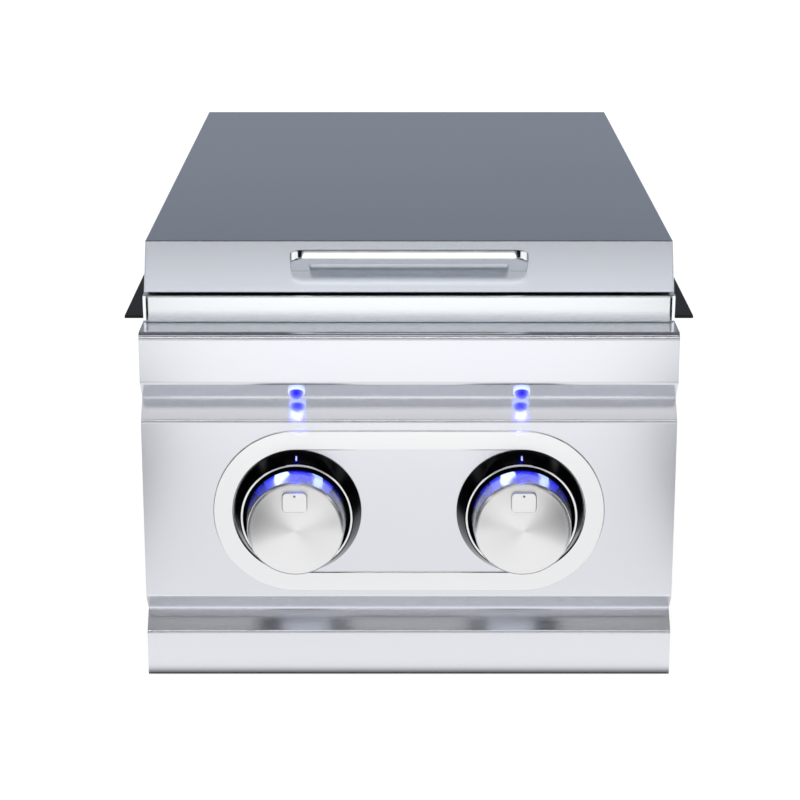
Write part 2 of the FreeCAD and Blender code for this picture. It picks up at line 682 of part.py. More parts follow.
def lid():
    """The folded lid: a sloping front, upright sides and back, open below."""
    half = "lid_width / 2"

    def side_view(name, inset, floor, ceiling):
        """A block with the lid's side outline, drawn in by inset, between two heights."""
        body = new_body(name)
        sketch = new_sketch(body, name + "Side", "YZ_Plane")
        slant = f"lid_front + ({inset}) / cos(lid_slope)"
        outline(sketch, [
            (f"{slant} + ({floor}) * tan(lid_slope)", f"lid_floor + ({floor})"),
            (f"{slant} + ({ceiling}) * tan(lid_slope)", f"lid_floor + ({ceiling})"),
            (f"lid_back - ({inset})", f"lid_floor + ({ceiling})"),
            (f"lid_back - ({inset})", f"lid_floor + ({floor})"),
        ])
        pad(body, name + "Pad", sketch, f"lid_width - 2 * ({inset})", both_ways=True)
        return place(body)

    outer = side_view("LidOuter", "0", "0", "lid_height")

    def lid_bend(edge):
        box = edge.BoundBox
        top = near(box.ZMin, "lid_floor + lid_height")
        upright = box.ZMax - box.ZMin > number("lid_height") - 1
        return top or upright

    fillet(outer, "LidBends", "lid_radius", lid_bend)
    inner = side_view("LidInner", "lid_gauge", "lid_gauge", "lid_height - lid_gauge")
    mouth = side_view("LidMouth", "lid_hem", "-1", "lid_gauge + 1")
    keep(cut("LidShell", outer, [inner, mouth]), "lid_shell")


def on_lid_face(along, out):
    """Y and Z formulas of a point on the lid's sloping face, up the slope and square out of it."""
    y = f"lid_front + ({along}) * sin(lid_slope) - ({out}) * cos(lid_slope)"
    z = f"lid_floor + ({along}) * cos(lid_slope) + ({out}) * sin(lid_slope)"
    return y, z


def lid_handle():
    """A bridge-shaped bar, cut from one plate, whose two legs stand square on the lid's face."""
    body = new_body("LidHandle")
    sketch = new_sketch(body, "HandleOutline", "XY_Plane")
    half, bar, reach, corner = "handle_length / 2", "handle_bar", "handle_standoff", "handle_radius"
    bulge = f"({corner} * (1 - cos(45)))"
    outline(sketch, [
        (f"-{half}", "0"),
        (f"-{half}", f"-{reach} + {corner}"),
        (f"-{half} + {bulge}", f"-{reach} + {bulge}", f"-{half} + {corner}", f"-{reach}"),
        (f"{half} - {corner}", f"-{reach}"),
        (f"{half} - {bulge}", f"-{reach} + {bulge}", half, f"-{reach} + {corner}"),
        (half, "0"),
        (f"{half} - {bar}", "0"),
        (f"{half} - {bar}", f"-{reach} + {bar}"),
        (f"-{half} + {bar}", f"-{reach} + {bar}"),
        (f"-{half} + {bar}", "0"),
    ])
    pad(body, "HandlePlate", sketch, "handle_thickness", both_ways=True)
    fillet(body, "HandleSoftEdges", "handle_thickness / 8",
           lambda edge: runs_along(edge, "x") and edge.Length > number("handle_length") / 2)
    y, z = on_lid_face("lid_height / cos(lid_slope) / 2", "0")
    turn = FreeCAD.Rotation(FreeCAD.Vector(1, 0, 0), -number("lid_slope"))
    place(body, "0", y, z, turn)
    keep(body, "lid_handle")
    screw_turn = FreeCAD.Rotation(FreeCAD.Vector(1, 0, 0), -90 - number("lid_slope"))
    head_y, head_z = on_lid_face("lid_height / cos(lid_slope) / 2", "-lid_gauge")
    heads = [
        rod(f"HandleScrew{i}", "screw_head", "2.4", f"{way}(handle_length - handle_bar) / 2",
            head_y, head_z, screw_turn)
        for i, way in enumerate(("-", ""))
    ]
    keep(group("HandleScrews", heads), "handle_screws")


def hinges():
    """Butt hinges behind the lid: a leaf on the rim, a leaf on the lid and a pin through both."""
    third = "hinge_length / 3"
    for side, sign in (("left", "-1"), ("right", "1")):
        middle = f"{sign} * hinge_spacing / 2"
        low, high = f"{middle} - hinge_length / 2", f"{middle} + hinge_length / 2"
        inner_low, inner_high = f"{middle} - {third} / 2", f"{middle} + {third} / 2"
        leaf = block("BaseLeaf" + side, (low, high),
                     ("hinge_line", "hinge_line + leaf_width"), ("rim_top", "rim_top + leaf_gauge"))
        knuckles = [
            rod(f"BaseKnuckle{side}{i}", "hinge_barrel", third, x, "hinge_line", "hinge_height", ALONG_X)
            for i, x in enumerate((low, inner_high))
        ]
        bore = rod("BaseBore" + side, "hinge_pin_radius", "hinge_length + 4", f"{low} - 2",
                   "hinge_line", "hinge_height", ALONG_X)
        gap = block("BaseGap" + side, (f"{inner_low} - 0.3", f"{inner_high} + 0.3"),
                    ("hinge_line - hinge_barrel - 1", "hinge_line + hinge_barrel + 0.4"),
                    ("rim_top", "rim_top + 3 * hinge_barrel"))
        keep(cut("BaseHinge" + side, join("BaseParts" + side, [leaf] + knuckles), [bore, gap]),
             "hinge_base_" + side)
        lid_leaf = block("LidLeaf" + side, (inner_low, inner_high), ("lid_back", "lid_back + leaf_gauge"),
                         ("hinge_height", "lid_floor + lid_height - lid_radius - 2"))
        lid_knuckle = rod("LidKnuckle" + side, "hinge_barrel", third, inner_low, "hinge_line",
                          "hinge_height", ALONG_X)
        lid_bore = rod("LidBore" + side, "hinge_pin_radius + running_gap", "hinge_length",
                       f"{inner_low} - 4", "hinge_line", "hinge_height", ALONG_X)
        keep(cut("LidHinge" + side, join("LidLeafParts" + side, [lid_leaf, lid_knuckle]), [lid_bore]),
             "hinge_leaf_" + side)
        keep(rod("HingePin" + side, "hinge_pin_radius", "hinge_length + 2", f"{low} - 1", "hinge_line",
                 "hinge_height", ALONG_X), "hinge_pin_" + side)


def lid_bumpers():
    """Silicone pads on the rim, under the lid's hem."""
    side = "lid_width / 2 - bumper_radius - 2"
    pads = []
    for i, (way, y) in enumerate((("-", "lid_front + lid_hem"), ("", "lid_front + lid_hem"),
                                  ("-", "lid_back - 60"), ("", "lid_back - 60"))):
        pads.append(rod(f"Bumper{i}", "bumper_radius", "lid_gap - 0.1", f"{way}({side})", y,
                        "rim_top", ALONG_Z))
    keep(group("Bumpers", pads), "lid_bumpers")


def valves():
    """Each gas valve: body, bonnet, tapered plug, stem spring and sliding stem on one axis."""
    nose = "valve_setback"
    back = "valve_setback + valve_length"
    chamber = "plug_radius + 1"
    seat = f"{nose} + spring_length + collar_length"
    slot_half = "(tongue_width / 2 + tongue_gap)"
    slot_rise = "(tongue_height / 2 + 2 * tongue_gap)"
    for side, x in (("left", LEFT), ("right", RIGHT)):
        barrel = rod("ValveBarrel" + side, "valve_radius", "valve_length", x, nose, "knob_height")
        neck = rod("ValveNeck" + side, "manifold_radius - 3", "manifold_drop", x, "manifold_line",
                   "manifold_height", ALONG_Z)
        cheek = block("ValveSaddle" + side, (f"{x} - saddle_length / 2", f"{x} + saddle_length / 2"),
                      ("manifold_line - saddle_depth / 2", "manifold_line + saddle_depth / 2"),
                      ("manifold_height", "manifold_height + manifold_radius + saddle_cover"))
        chamber_cut = rod("ValveChamber" + side, chamber, "spring_length + collar_length", x,
                          f"{nose}", "knob_height")
        seat_cut = cone("ValveSeat" + side, "plug_radius + running_gap",
                        "plug_radius - plug_taper + running_gap", "plug_length", x, seat, "knob_height")
        outlet = rod("ValveOutlet" + side, "gas_way_radius", "valve_length", x,
                     f"{seat} + plug_length - 1", "knob_height")
        pipe_cut = rod("ValvePipeCut" + side, "manifold_radius", "60", f"{x} - 30", "manifold_line",
                       "manifold_height", ALONG_X)
        gas_way = rod("ValveGasWay" + side, "gas_way_radius", "manifold_drop", x, "manifold_line",
                      "manifold_height", ALONG_Z)
        keep(cut("ValveBody" + side, join("ValveCasting" + side, [barrel, neck, cheek]),
                 [chamber_cut, seat_cut, outlet, pipe_cut, gas_way]), "valve_body_" + side)

        bonnet = turned("ValveBonnet" + side, [
            ("stem_radius + running_gap", f"{nose} - bonnet_length"),
            ("bonnet_radius", f"{nose} - bonnet_length"),
            ("bonnet_radius", f"{nose} - 2.5"),
            ("valve_radius", f"{nose} - 2.5"),
            ("valve_radius", nose),
            ("stem_radius + running_gap", nose),
        ])
        place(bonnet, x, "0", "knob_height")
        keep(bonnet, "valve_bonnet_" + side)

        plug = cone("PlugCone" + side, "plug_radius", "plug_radius - plug_taper", "plug_length", x, seat,
                    "knob_height")
        slot = block("PlugSlot" + side, (f"{x} - {slot_half}", f"{x} + {slot_half}"),
                     (f"{seat} - 1", f"{seat} + push_travel + 8"),
                     (f"knob_height - {slot_rise}", f"knob_height + {slot_rise}"))
        port = rod("PlugPort" + side, "2.2", "4 * plug_radius", x, "manifold_line",
                   "knob_height - 2 * plug_radius", ALONG_Z)
        keep(cut("PlugCut" + side, plug, [slot, port]), "valve_plug_" + side)

        collar = rod("StemCollar" + side, "plug_radius - 1", "collar_length", x,
                     f"{nose} + running_gap", "knob_height")
        shaft = rod("StemShaft" + side, "stem_radius", "knob_reach - hub_seat + valve_setback", x,
                    "hub_seat - knob_reach", "knob_height")
        flat = block("StemFlat" + side, (f"{x} - 6", f"{x} + 6"), ("-knob_reach", "-bezel_floor - 4"),
                     ("knob_height + stem_flat", "knob_height + 8"))
        tongue = block("StemTongue" + side, (f"{x} - tongue_width / 2", f"{x} + tongue_width / 2"),
                       (f"{nose}", f"{seat} + 6"),
                       ("knob_height - tongue_height / 2", "knob_height + tongue_height / 2"))
        keep(cut("StemCut" + side, join("StemParts" + side, [collar, shaft, tongue]), [flat]),
             "valve_stem_" + side)

        spring = new_body("StemSpring" + side)
        wire = new_sketch(spring, "SpringWire" + side, "XY_Plane")
        outline(wire, [
            ("spring_radius - spring_wire / 2", "0"),
            ("spring_radius + spring_wire / 2", "0"),
            ("spring_radius + spring_wire / 2", "spring_wire"),
            ("spring_radius - spring_wire / 2", "spring_wire"),
        ])
        coil = spring.newObject("PartDesign::AdditiveHelix", "SpringCoil" + side)
        coil.Profile = wire
        coil.ReferenceAxis = (wire, ["V_Axis"])
        coil.Mode = "height-turns-angle"
        bind(coil, "Height", "spring_length - running_gap - spring_wire")
        coil.Turns = 2
        place(spring, x, f"{nose} + collar_length + running_gap", "knob_height")
        keep(spring, "stem_spring_" + side)

        injector = turned("Injector" + side, [
            ("0.8", back),
            ("8", back),
            ("8", f"{back} + 5"),
            ("4.5", f"{back} + 6"),
            ("4.5", "mouth_setback + 1"),
            ("2.5", "mouth_setback + 4"),
            ("0.8", "mouth_setback + 4"),
        ])
        place(injector, x, "0", "knob_height")
        keep(injector, "gas_injector_" + side)


def knobs():
    """Hollow knob with a crowned face, a raised pointer pad and a hub on the stem's flat."""
    face = "-knob_reach + knob_crown"
    for side, x in (("left", LEFT), ("right", RIGHT)):
        bevel = "knob_edge_radius * (1 - cos(45))"
        body = turned("KnobShell" + side, [
            ("0", "-knob_reach"),
            ("knob_radius / 6", "-knob_reach"),
            ("knob_radius - knob_edge_radius", face),
            (f"knob_radius - {bevel}", f"{face} + {bevel}"),
            ("knob_radius", f"{face} + knob_edge_radius"),
            ("knob_back_radius", "-knob_back"),
            ("knob_back_radius - knob_wall", "-knob_back"),
            ("knob_back_radius - knob_wall", f"{face} + knob_wall + 1"),
            ("hub_radius", f"{face} + knob_wall + 1"),
            ("hub_radius", "-bezel_floor - 6"),
            ("0", "-bezel_floor - 6"),
        ])
        pad_sketch = new_sketch(body, "PointerPad" + side, "XZ_Plane")
        half = "pad_width / 2"
        low, high = "pad_offset - pad_height / 2", "pad_offset + pad_height / 2"
        outline(pad_sketch, [
            (f"-{half}", low), (half, low), (half, high), (f"-{half}", high),
        ])
        bind(pad_sketch, ".AttachmentOffset.Base.z", f"-({face}) - 1")
        pad(body, "PointerPadRaised" + side, pad_sketch, "pad_rise + 1")
        bore = new_sketch(body, "StemBore" + side, "XZ_Plane", "bezel_floor")
        half_chord = "sqrt(stem_radius ^ 2 - stem_flat ^ 2)"
        outline(bore, [
            ("0", "-stem_radius", half_chord, "stem_flat"),
            (f"-{half_chord}", "stem_flat"),
        ])
        pocket(body, "StemBoreCut" + side, bore, "knob_reach - hub_seat - bezel_floor",
               backwards=True)
        place(body, x, "0", "knob_height")
        keep(body, "knob_" + side)


def bezels():
    """Polished cone around each knob, screwed to the panel through its floor."""
    for side, x in (("left", LEFT), ("right", RIGHT)):
        body = turned("Bezel" + side, [
            ("bonnet_radius + 0.5", "0"),
            ("bezel_radius", "0"),
            ("bezel_radius", "-2"),
            ("bezel_lip_radius + 0.8", "-bezel_reach + 1.2"),
            ("bezel_lip_radius - 0.4", "-bezel_reach"),
            ("bezel_bore + 0.6", "-bezel_reach"),
            ("bezel_bore", "-bezel_reach + 1"),
            ("bezel_bore + 2", "-bezel_floor"),
            ("bonnet_radius + 0.5", "-bezel_floor"),
        ])
        holes = new_sketch(body, "BezelHoles" + side, "XZ_Plane")
        for way in ("-", ""):
            circle(holes, "screw_radius", f"{way}bezel_screw_circle", "0")
        pocket(body, "BezelHolesCut" + side, holes, both_ways=True)
        place(body, x, "0", "knob_height")
        keep(body, "bezel_" + side)
        for i, way in enumerate(("-", "")):
            screw_x = f"{x} + {way}bezel_screw_circle"
            head = rod(f"BezelScrewHead{side}{i}", "screw_head", "1.6", screw_x, "-bezel_floor - 1.6",
                       "knob_height")
            shank = rod(f"BezelScrewShank{side}{i}", "screw_radius", "7 + bezel_floor", screw_x,
                        "-bezel_floor", "knob_height")
            PANEL_SCREWS.append(join(f"BezelScrew{side}{i}", [head, shank]))


def lamps():
    """Small chrome lamp holders under the nose, each with a blue lens that looks down at its knob."""
    for side, x in (("left", LEFT), ("right", RIGHT)):
        holder = turned("LampHolder" + side, [
            ("lens_radius", "0.5"),
            ("lens_radius", "-lamp_reach + 1.4"),
            ("lamp_radius - 1.6", "-lamp_reach + 1"),
            ("lamp_radius", "-0.8"),
            ("lamp_radius", "0"),
            ("lamp_body_radius", "0"),
            ("lamp_body_radius", "lamp_depth"),
            ("lamp_wire_hole", "lamp_depth"),
            ("lamp_wire_hole", "0.5"),
        ])
        lens = turned("LampLens" + side, [
            ("0", "0.5"),
            ("lens_radius", "0.5"),
            ("lens_radius", "-lamp_reach + 1.4"),
            ("2", "-lamp_reach + 0.5", "0.8", "-lamp_reach"),
            ("0", "-lamp_reach"),
        ])
        tilt = FreeCAD.Rotation(FreeCAD.Vector(1, 0, 0), number("groove_lean"))
        for piece, label in ((holder, "lamp_holder_"), (lens, "lamp_lens_")):
            place(piece, x, "groove_depth / 2", "upper_bend + groove_height / 4", tilt)
            keep(piece, label + side)


def manifold():
    """Gas pipe under both valves that turns back along the right side to the inlet fitting."""
    start = "-knob_spacing / 2 - 26"
    corner = "manifold_side - manifold_bend"
    line = "manifold_line"
    end = "box_back + 2"
    middle = "manifold_bend * (1 - cos(45))"
    body = new_body("Manifold")
    spine = new_sketch(body, "ManifoldRoute", "XY_Plane")
    points = [(start, line), (corner, line), ("manifold_side", f"{line} + manifold_bend"),
              ("manifold_side", end)]
    corners = [FreeCAD.Vector(number(x), number(y), 0) for x, y in points]
    via = (f"manifold_side - {middle}", f"{line} + {middle}")
    first = spine.addGeometry(Part.LineSegment(corners[0], corners[1]), False)
    arc = spine.addGeometry(
        Part.Arc(corners[1], FreeCAD.Vector(number(via[0]), number(via[1]), 0), corners[2]), False
    )
    last = spine.addGeometry(Part.LineSegment(corners[2], corners[3]), False)
    spine.addConstraint(Sketcher.Constraint("Coincident", first, 2, arc, 1))
    spine.addConstraint(Sketcher.Constraint("Coincident", arc, 2, last, 1))
    pin_point(spine, first, 1, *points[0])
    pin_point(spine, first, 2, *points[1])
    pin_point(spine, last, 1, *points[2])
    pin_point(spine, last, 2, *points[3])
    mark = spine.addGeometry(Part.Point(FreeCAD.Vector(number(via[0]), number(via[1]), 0)), True)
    pin_point(spine, mark, 1, *via)
    spine.addConstraint(Sketcher.Constraint("PointOnObject", mark, 1, arc))
    ring = new_sketch(body, "ManifoldSection", "YZ_Plane", start)
    circle(ring, "manifold_radius", line, "0")
    circle(ring, "manifold_radius - manifold_wall", line, "0")
    doc.recompute()
    pipe = body.newObject("PartDesign::AdditivePipe", "ManifoldPipe")
    pipe.Profile = ring
    pipe.Spine = (spine, [])
    doc.recompute()
    place(body, "0", "0", "manifold_height")
    gas_ways = [
        rod(f"ManifoldWay{i}", "gas_way_radius", "manifold_radius + 2", side, "manifold_line",
            "manifold_height", ALONG_Z)
        for i, side in enumerate((LEFT, RIGHT))
    ]
    keep(cut("ManifoldDrilled", body, gas_ways), "gas_manifold")
    cap_body = rod("CapBody", "manifold_radius + 2", "12", f"{start} - 4", line, "manifold_height", ALONG_X)
    cap_bore = rod("CapBore", "manifold_radius", "10", start, line, "manifold_height", ALONG_X)
    keep(cut("ManifoldCap", cap_body, [cap_bore]), "manifold_cap")
    fitting = turned("InletFitting", [
        ("4.6", end), ("manifold_radius + 1.4", end), ("manifold_radius + 1.4", f"{end} + 6"),
        ("inlet_radius", f"{end} + 6"), ("inlet_radius", f"{end} + 6 + inlet_length"),
        ("5.2", f"{end} + 9 + inlet_length"), ("4.6", f"{end} + 9 + inlet_length"),
    ])
    place(fitting, "manifold_side", "0", "manifold_height")
    keep(fitting, "gas_inlet")
    grommet = turned("PipeGrommet", [
        ("manifold_radius", "box_back - sheet_gauge - 3"),
        ("manifold_radius + 5", "box_back - sheet_gauge - 3"),
        ("manifold_radius + 5", "box_back - sheet_gauge"),
        ("manifold_radius + 3", "box_back - sheet_gauge"),
        ("manifold_radius + 3", "box_back"),
        ("manifold_radius", "box_back"),
    ])
    place(grommet, "manifold_side", "0", "manifold_height")
    keep(grommet, "pipe_grommet")
    for side, x in (("left", "-knob_spacing / 4"), ("right", "knob_spacing / 4")):
        web = block("BracketWeb" + side, (f"{x} - 1", f"{x} + 1"),
                    ("manifold_line - manifold_radius - 4", "partition_setback"),
                    ("manifold_height - manifold_radius - 4", "manifold_height + manifold_radius + 4"))
        foot = block("BracketFoot" + side, (f"{x} + 1", f"{x} + 14"),
                     ("partition_setback - 2", "partition_setback"),
                     ("manifold_height - manifold_radius - 4", "manifold_height + manifold_radius + 4"))
        hole = rod("BracketHole" + side, "manifold_radius", "10", f"{x} - 5", "manifold_line",
                   "manifold_height", ALONG_X)
        keep(cut("Bracket" + side, join("BracketParts" + side, [web, foot]), [hole]),
             "manifold_bracket_" + side)


def mixing_tubes():
    """Each burner's mixing tube: straight back from its injector, then across to the riser."""
    for name, side_x, sign, burner in (
        ("front", LEFT, "1", "front_burner_setback"),
        ("rear", RIGHT, "-1", "rear_burner_setback"),
    ):
        body = new_body("MixingTube" + name)
        turn_y = f"{burner} - knob_spacing / 2"
        reach = "(tube_bend * tan(22.5))"
        lean = f"({reach} * cos(45))"
        riser_edge = "((riser_radius - 2) * cos(45))"
        sag = "(tube_bend * (1 - cos(22.5)))"
        swing = "(tube_bend * sin(22.5))"
        start = (side_x, "mouth_setback")
        first_end = (side_x, f"{turn_y} - {reach}")
        via = (f"{side_x} + {sign} * {sag}", f"{turn_y} - {reach} + {swing}")
        last_start = (f"{side_x} + {sign} * {lean}", f"{turn_y} + {lean}")
        end = (f"-({sign}) * {riser_edge}", f"{burner} - {riser_edge}")
        spine = new_sketch(body, "TubeRoute" + name, "XY_Plane")
        vectors = [FreeCAD.Vector(number(p[0]), number(p[1]), 0)
                   for p in (start, first_end, via, last_start, end)]
        first = spine.addGeometry(Part.LineSegment(vectors[0], vectors[1]), False)
        arc = spine.addGeometry(Part.Arc(vectors[1], vectors[2], vectors[3]), False)
        last = spine.addGeometry(Part.LineSegment(vectors[3], vectors[4]), False)
        near_start = spine.getPoint(arc, 1).distanceToPoint(vectors[1]) < 1e-6
        arc_in, arc_out = (1, 2) if near_start else (2, 1)
        spine.addConstraint(Sketcher.Constraint("Coincident", first, 2, arc, arc_in))
        spine.addConstraint(Sketcher.Constraint("Coincident", arc, arc_out, last, 1))
        for geometry, position, point in ((first, 1, start), (first, 2, first_end),
                                          (last, 1, last_start), (last, 2, end)):
            pin_point(spine, geometry, position, *point)
        mark = spine.addGeometry(Part.Point(vectors[2]), True)
        pin_point(spine, mark, 1, *via)
        spine.addConstraint(Sketcher.Constraint("PointOnObject", mark, 1, arc))
        ring = new_sketch(body, "TubeSection" + name, "XZ_Plane", "-mouth_setback")
        circle(ring, "tube_radius", side_x, "0")
        circle(ring, "tube_radius - tube_wall", side_x, "0")
        doc.recompute()
        pipe = body.newObject("PartDesign::AdditivePipe", "TubeSwept" + name)
        pipe.Profile = ring
        pipe.Spine = (spine, [])
        doc.recompute()
        place(body, "0", "0", "knob_height")
        windows = [
            block(f"AirWindow{name}{i}", (f"{side_x} - window_width / 2", f"{side_x} + window_width / 2"),
                  ("mouth_setback + window_start", "mouth_setback + window_start + window_length"), z)
            for i, z in enumerate((("knob_height", "knob_height + 2 * tube_radius"),
                                   ("knob_height - 2 * tube_radius", "knob_height")))
        ]
        well = rod("RiserClear" + name, "riser_radius", "2 * riser_radius + tube_radius", "0", burner,
                   "knob_height - 2 * riser_radius", ALONG_Z)
        keep(cut("TubeCut" + name, body, windows + [well]), "mixing_tube_" + name)

        sleeve = rod("ShutterSleeve" + name, "tube_radius + running_gap + shutter_wall",
                     "shutter_length", side_x, "mouth_setback + 1", "knob_height")
        inside = rod("ShutterBore" + name, "tube_radius + running_gap", "40", side_x,
                     "mouth_setback - 4", "knob_height")
        half = "(window_width / 2 + window_margin)"
        opening = block("ShutterWindow" + name, (f"{side_x} - {half}", f"{side_x} + {half}"),
                        ("mouth_setback + window_start - window_margin",
                         "mouth_setback + window_start + window_length + window_margin"),
                        ("knob_height - 2 * tube_radius", "knob_height + 2 * tube_radius"))
        keep(cut("Shutter" + name, sleeve, [inside, opening]), "air_shutter_" + name)


def burners():
    """Cast bowl on a riser that takes the mixing tube, and a brass cap ringed with flame ports."""
    for name, sign, burner, x in (
        ("front", "-1", "front_burner_setback", LEFT),
        ("rear", "1", "rear_burner_setback", RIGHT),
    ):
        riser_floor = "knob_height - tube_radius - burner_wall"
        bowl = turned("BurnerBowl" + name, [
            ("0", riser_floor),
            ("riser_radius", riser_floor),
            ("riser_radius", "bowl_floor - 10"),
            ("burner_radius - 8", "bowl_floor"),
            ("burner_radius", "bowl_floor + 8"),
            ("burner_radius", "bowl_top"),
            ("burner_radius - burner_wall", "bowl_top"),
            ("burner_radius - burner_wall", "bowl_floor + 9"),
            ("burner_radius - 8 - burner_wall / 2", "bowl_floor + burner_wall"),
            ("riser_radius - burner_wall", "bowl_floor - 8"),
            ("riser_radius - burner_wall", f"{riser_floor} + burner_wall"),
            ("0", f"{riser_floor} + burner_wall"),
        ], "XZ_Plane")
        place(bowl, "0", burner)
        inlet_turn = FreeCAD.Rotation(FreeCAD.Vector(0, 0, 1), 45 if sign == "1" else -45)
        inlet = rod("BurnerInlet" + name, "tube_radius - tube_wall", "riser_radius + 3", "0", burner,
                    "knob_height", inlet_turn.multiply(FreeCAD.Rotation(FreeCAD.Vector(1, 0, 0), 90)))
        legs = [
            block(f"BurnerLeg{name}{i}", (low, high), (f"{burner} - 3", f"{burner} + 3"),
                  ("sheet_gauge", f"{riser_floor} + 6"))
            for i, (low, high) in enumerate((("-riser_radius - 4", "-riser_radius + 2"),
                                             ("riser_radius - 2", "riser_radius + 4")))
        ]
        keep(cut("BurnerCasting" + name, join("BurnerJoined" + name, [bowl] + legs), [inlet]),
             "burner_bowl_" + name)

        cap_floor = "bowl_top"
        cap = turned("BurnerCap" + name, [
            ("cap_radius - cap_wall", cap_floor),
            ("cap_radius", cap_floor),
            ("cap_radius", f"{cap_floor} + cap_height"),
            ("cap_radius * 0.5", f"{cap_floor} + cap_height + cap_crown"),
            ("0", f"{cap_floor} + cap_height + cap_crown"),
            ("0", f"{cap_floor} + cap_height + cap_crown - 2.5"),
            ("cap_radius - cap_wall", f"{cap_floor} + cap_height - 2"),
        ], "XZ_Plane")
        port = new_sketch(cap, "FlamePort" + name, "XY_Plane", f"{cap_floor} + port_lift")
        outline(port, [
            ("cap_radius - 5", "-port_width / 2"),
            ("cap_radius + 4", "-port_width / 2"),
            ("cap_radius + 4", "port_width / 2"),
            ("cap_radius - 5", "port_width / 2"),
        ])
        port_cut = pocket(cap, "FlamePortCut" + name, port, "cap_height - 5.5", backwards=True)
        ring = cap.newObject("PartDesign::PolarPattern", "FlamePorts" + name)
        ring.Originals = [port_cut]
        ring.Axis = (port, ["N_Axis"])
        ring.Angle = 360
        bind(ring, "Occurrences", "port_count")
        cap.Tip = ring
        doc.recompute()
        place(cap, "0", burner)
        keep(cap, "burner_cap_" + name)


def electrodes():
    """Spark electrodes beside the burners, on a bent strap from each bowl's riser."""
    for name, burner in (("front", "front_burner_setback"), ("rear", "rear_burner_setback")):
        x = "-electrode_offset"
        low = "tray_floor - strap_drop"
        ceramic = rod("Insulator" + name, "insulator_radius", "strap_drop + tray_depth", x, burner, low,
                      ALONG_Z)
        wire = rod("SparkWire" + name, "electrode_radius", "8", x, burner, "box_top", ALONG_Z)
        tip = rod("SparkTip" + name, "electrode_radius", "8", x, burner, "box_top + 7", ALONG_X)
        keep(join("Electrode" + name, [ceramic, wire, tip]), "spark_electrode_" + name)
        strap = block("StrapPlate" + name, (x, "0"),
                      (f"{burner} - strap_gauge / 2", f"{burner} + strap_gauge / 2"),
                      (f"{low} + strap_lift", f"{low} + strap_lift + strap_height"))
        loop = rod("StrapLoop" + name, "insulator_radius + 2.5", "strap_height", x, burner,
                   f"{low} + strap_lift", ALONG_Z)
        bore = rod("StrapBore" + name, "insulator_radius", "strap_height + 4", x, burner, low, ALONG_Z)
        riser = rod("StrapEnd" + name, "riser_radius", "strap_height + 4", "0", burner, low, ALONG_Z)
        ELECTRODE_STRAPS.append(
            cut("Strap" + name, join("StrapParts" + name, [strap, loop]), [bore, riser]))
    keep(group("ElectrodeStraps", ELECTRODE_STRAPS), "electrode_straps")


def cooking_grates():
    """Cast grates: a frame, eight fingers that leave the middle open, and four feet in the tray."""
    half_x, half_y = "grate_width / 2", "grate_depth / 2"
    low = "grate_top - grate_height"
    for name, burner in (("front", "front_burner_setback"), ("rear", "rear_burner_setback")):
        body = new_body("Grate" + name)
        frame = new_sketch(body, "GrateFrame" + name, "XY_Plane", low)
        for inset in ("0", "grate_bar"):
            outline(frame, [
                (f"-{half_x} + {inset}", f"-{half_y} + {inset}"),
                (f"{half_x} - {inset}", f"-{half_y} + {inset}"),
                (f"{half_x} - {inset}", f"{half_y} - {inset}"),
                (f"-{half_x} + {inset}", f"{half_y} - {inset}"),
            ])
        pad(body, "GrateRing" + name, frame, "grate_height")
        bars = [body]
        for i, (turn, reach) in enumerate(finger_directions(half_x, half_y)):
            finger = doc.addObject("Part::Wedge", f"GrateFinger{name}{i}")
            bind(finger, "Xmin", "grate_eye")
            bind(finger, "Xmax", f"{reach} - grate_bar / 2")
            bind(finger, "X2min", "grate_eye + finger_slope")
            bind(finger, "X2max", f"{reach} - grate_bar / 2")
            bind(finger, "Ymin", low)
            bind(finger, "Ymax", "grate_top")
            bind(finger, "Zmin", "-grate_bar * 0.45")
            bind(finger, "Zmax", "grate_bar * 0.45")
            bind(finger, "Z2min", "-grate_bar * 0.3")
            bind(finger, "Z2max", "grate_bar * 0.3")
            spin = FreeCAD.Rotation(FreeCAD.Vector(0, 0, 1), turn)
            upright = FreeCAD.Rotation(FreeCAD.Vector(1, 0, 0), 90)
            finger.Placement = FreeCAD.Placement(FreeCAD.Vector(), spin.multiply(upright))
            bars.append(finger)
        for i, (x_way, y_way) in enumerate((("-", "-"), ("", "-"), ("-", ""), ("", ""))):
            foot_x = f"{x_way}({half_x} - foot_inset)"
            foot_y = f"{y_way}({half_y} - foot_inset)"
            foot = cone(f"GrateFoot{name}{i}", "foot_radius", "foot_radius + 1",
                        f"{low} - tray_floor - tray_gauge", foot_x, f"{foot_y} - front_y",
                        "tray_floor + tray_gauge", ALONG_Z)
            pad_block = block(
                f"GrateWeb{name}{i}", (f"{foot_x} - foot_radius - 2", f"{foot_x} + foot_radius + 2"),
                (f"{foot_y} - foot_radius - 6 - front_y", f"{foot_y} + foot_radius + 6 - front_y"),
                (low, f"{low} + grate_height / 2"))
            bars += [foot, pad_block]
        cast = join("GrateCasting" + name, bars)
        place(cast, "0", burner)
        keep(cast, "cooking_grate_" + name)


def finger_directions(half_x, half_y):
    """Angle and reach of the fingers that run to the middles of a grate's sides and to its corners."""
    ways = []
    for x_way in (-1, 0, 1):
        for y_way in (-1, 0, 1):
            if x_way or y_way:
                angle = degrees(atan2(y_way * number("grate_depth"), x_way * number("grate_width")))
                corner = f"sqrt(({half_x}) ^ 2 + ({half_y}) ^ 2) - grate_bar * 1.5"
                ways.append((angle, corner if x_way and y_way else half_x if x_way else half_y))
    return ways


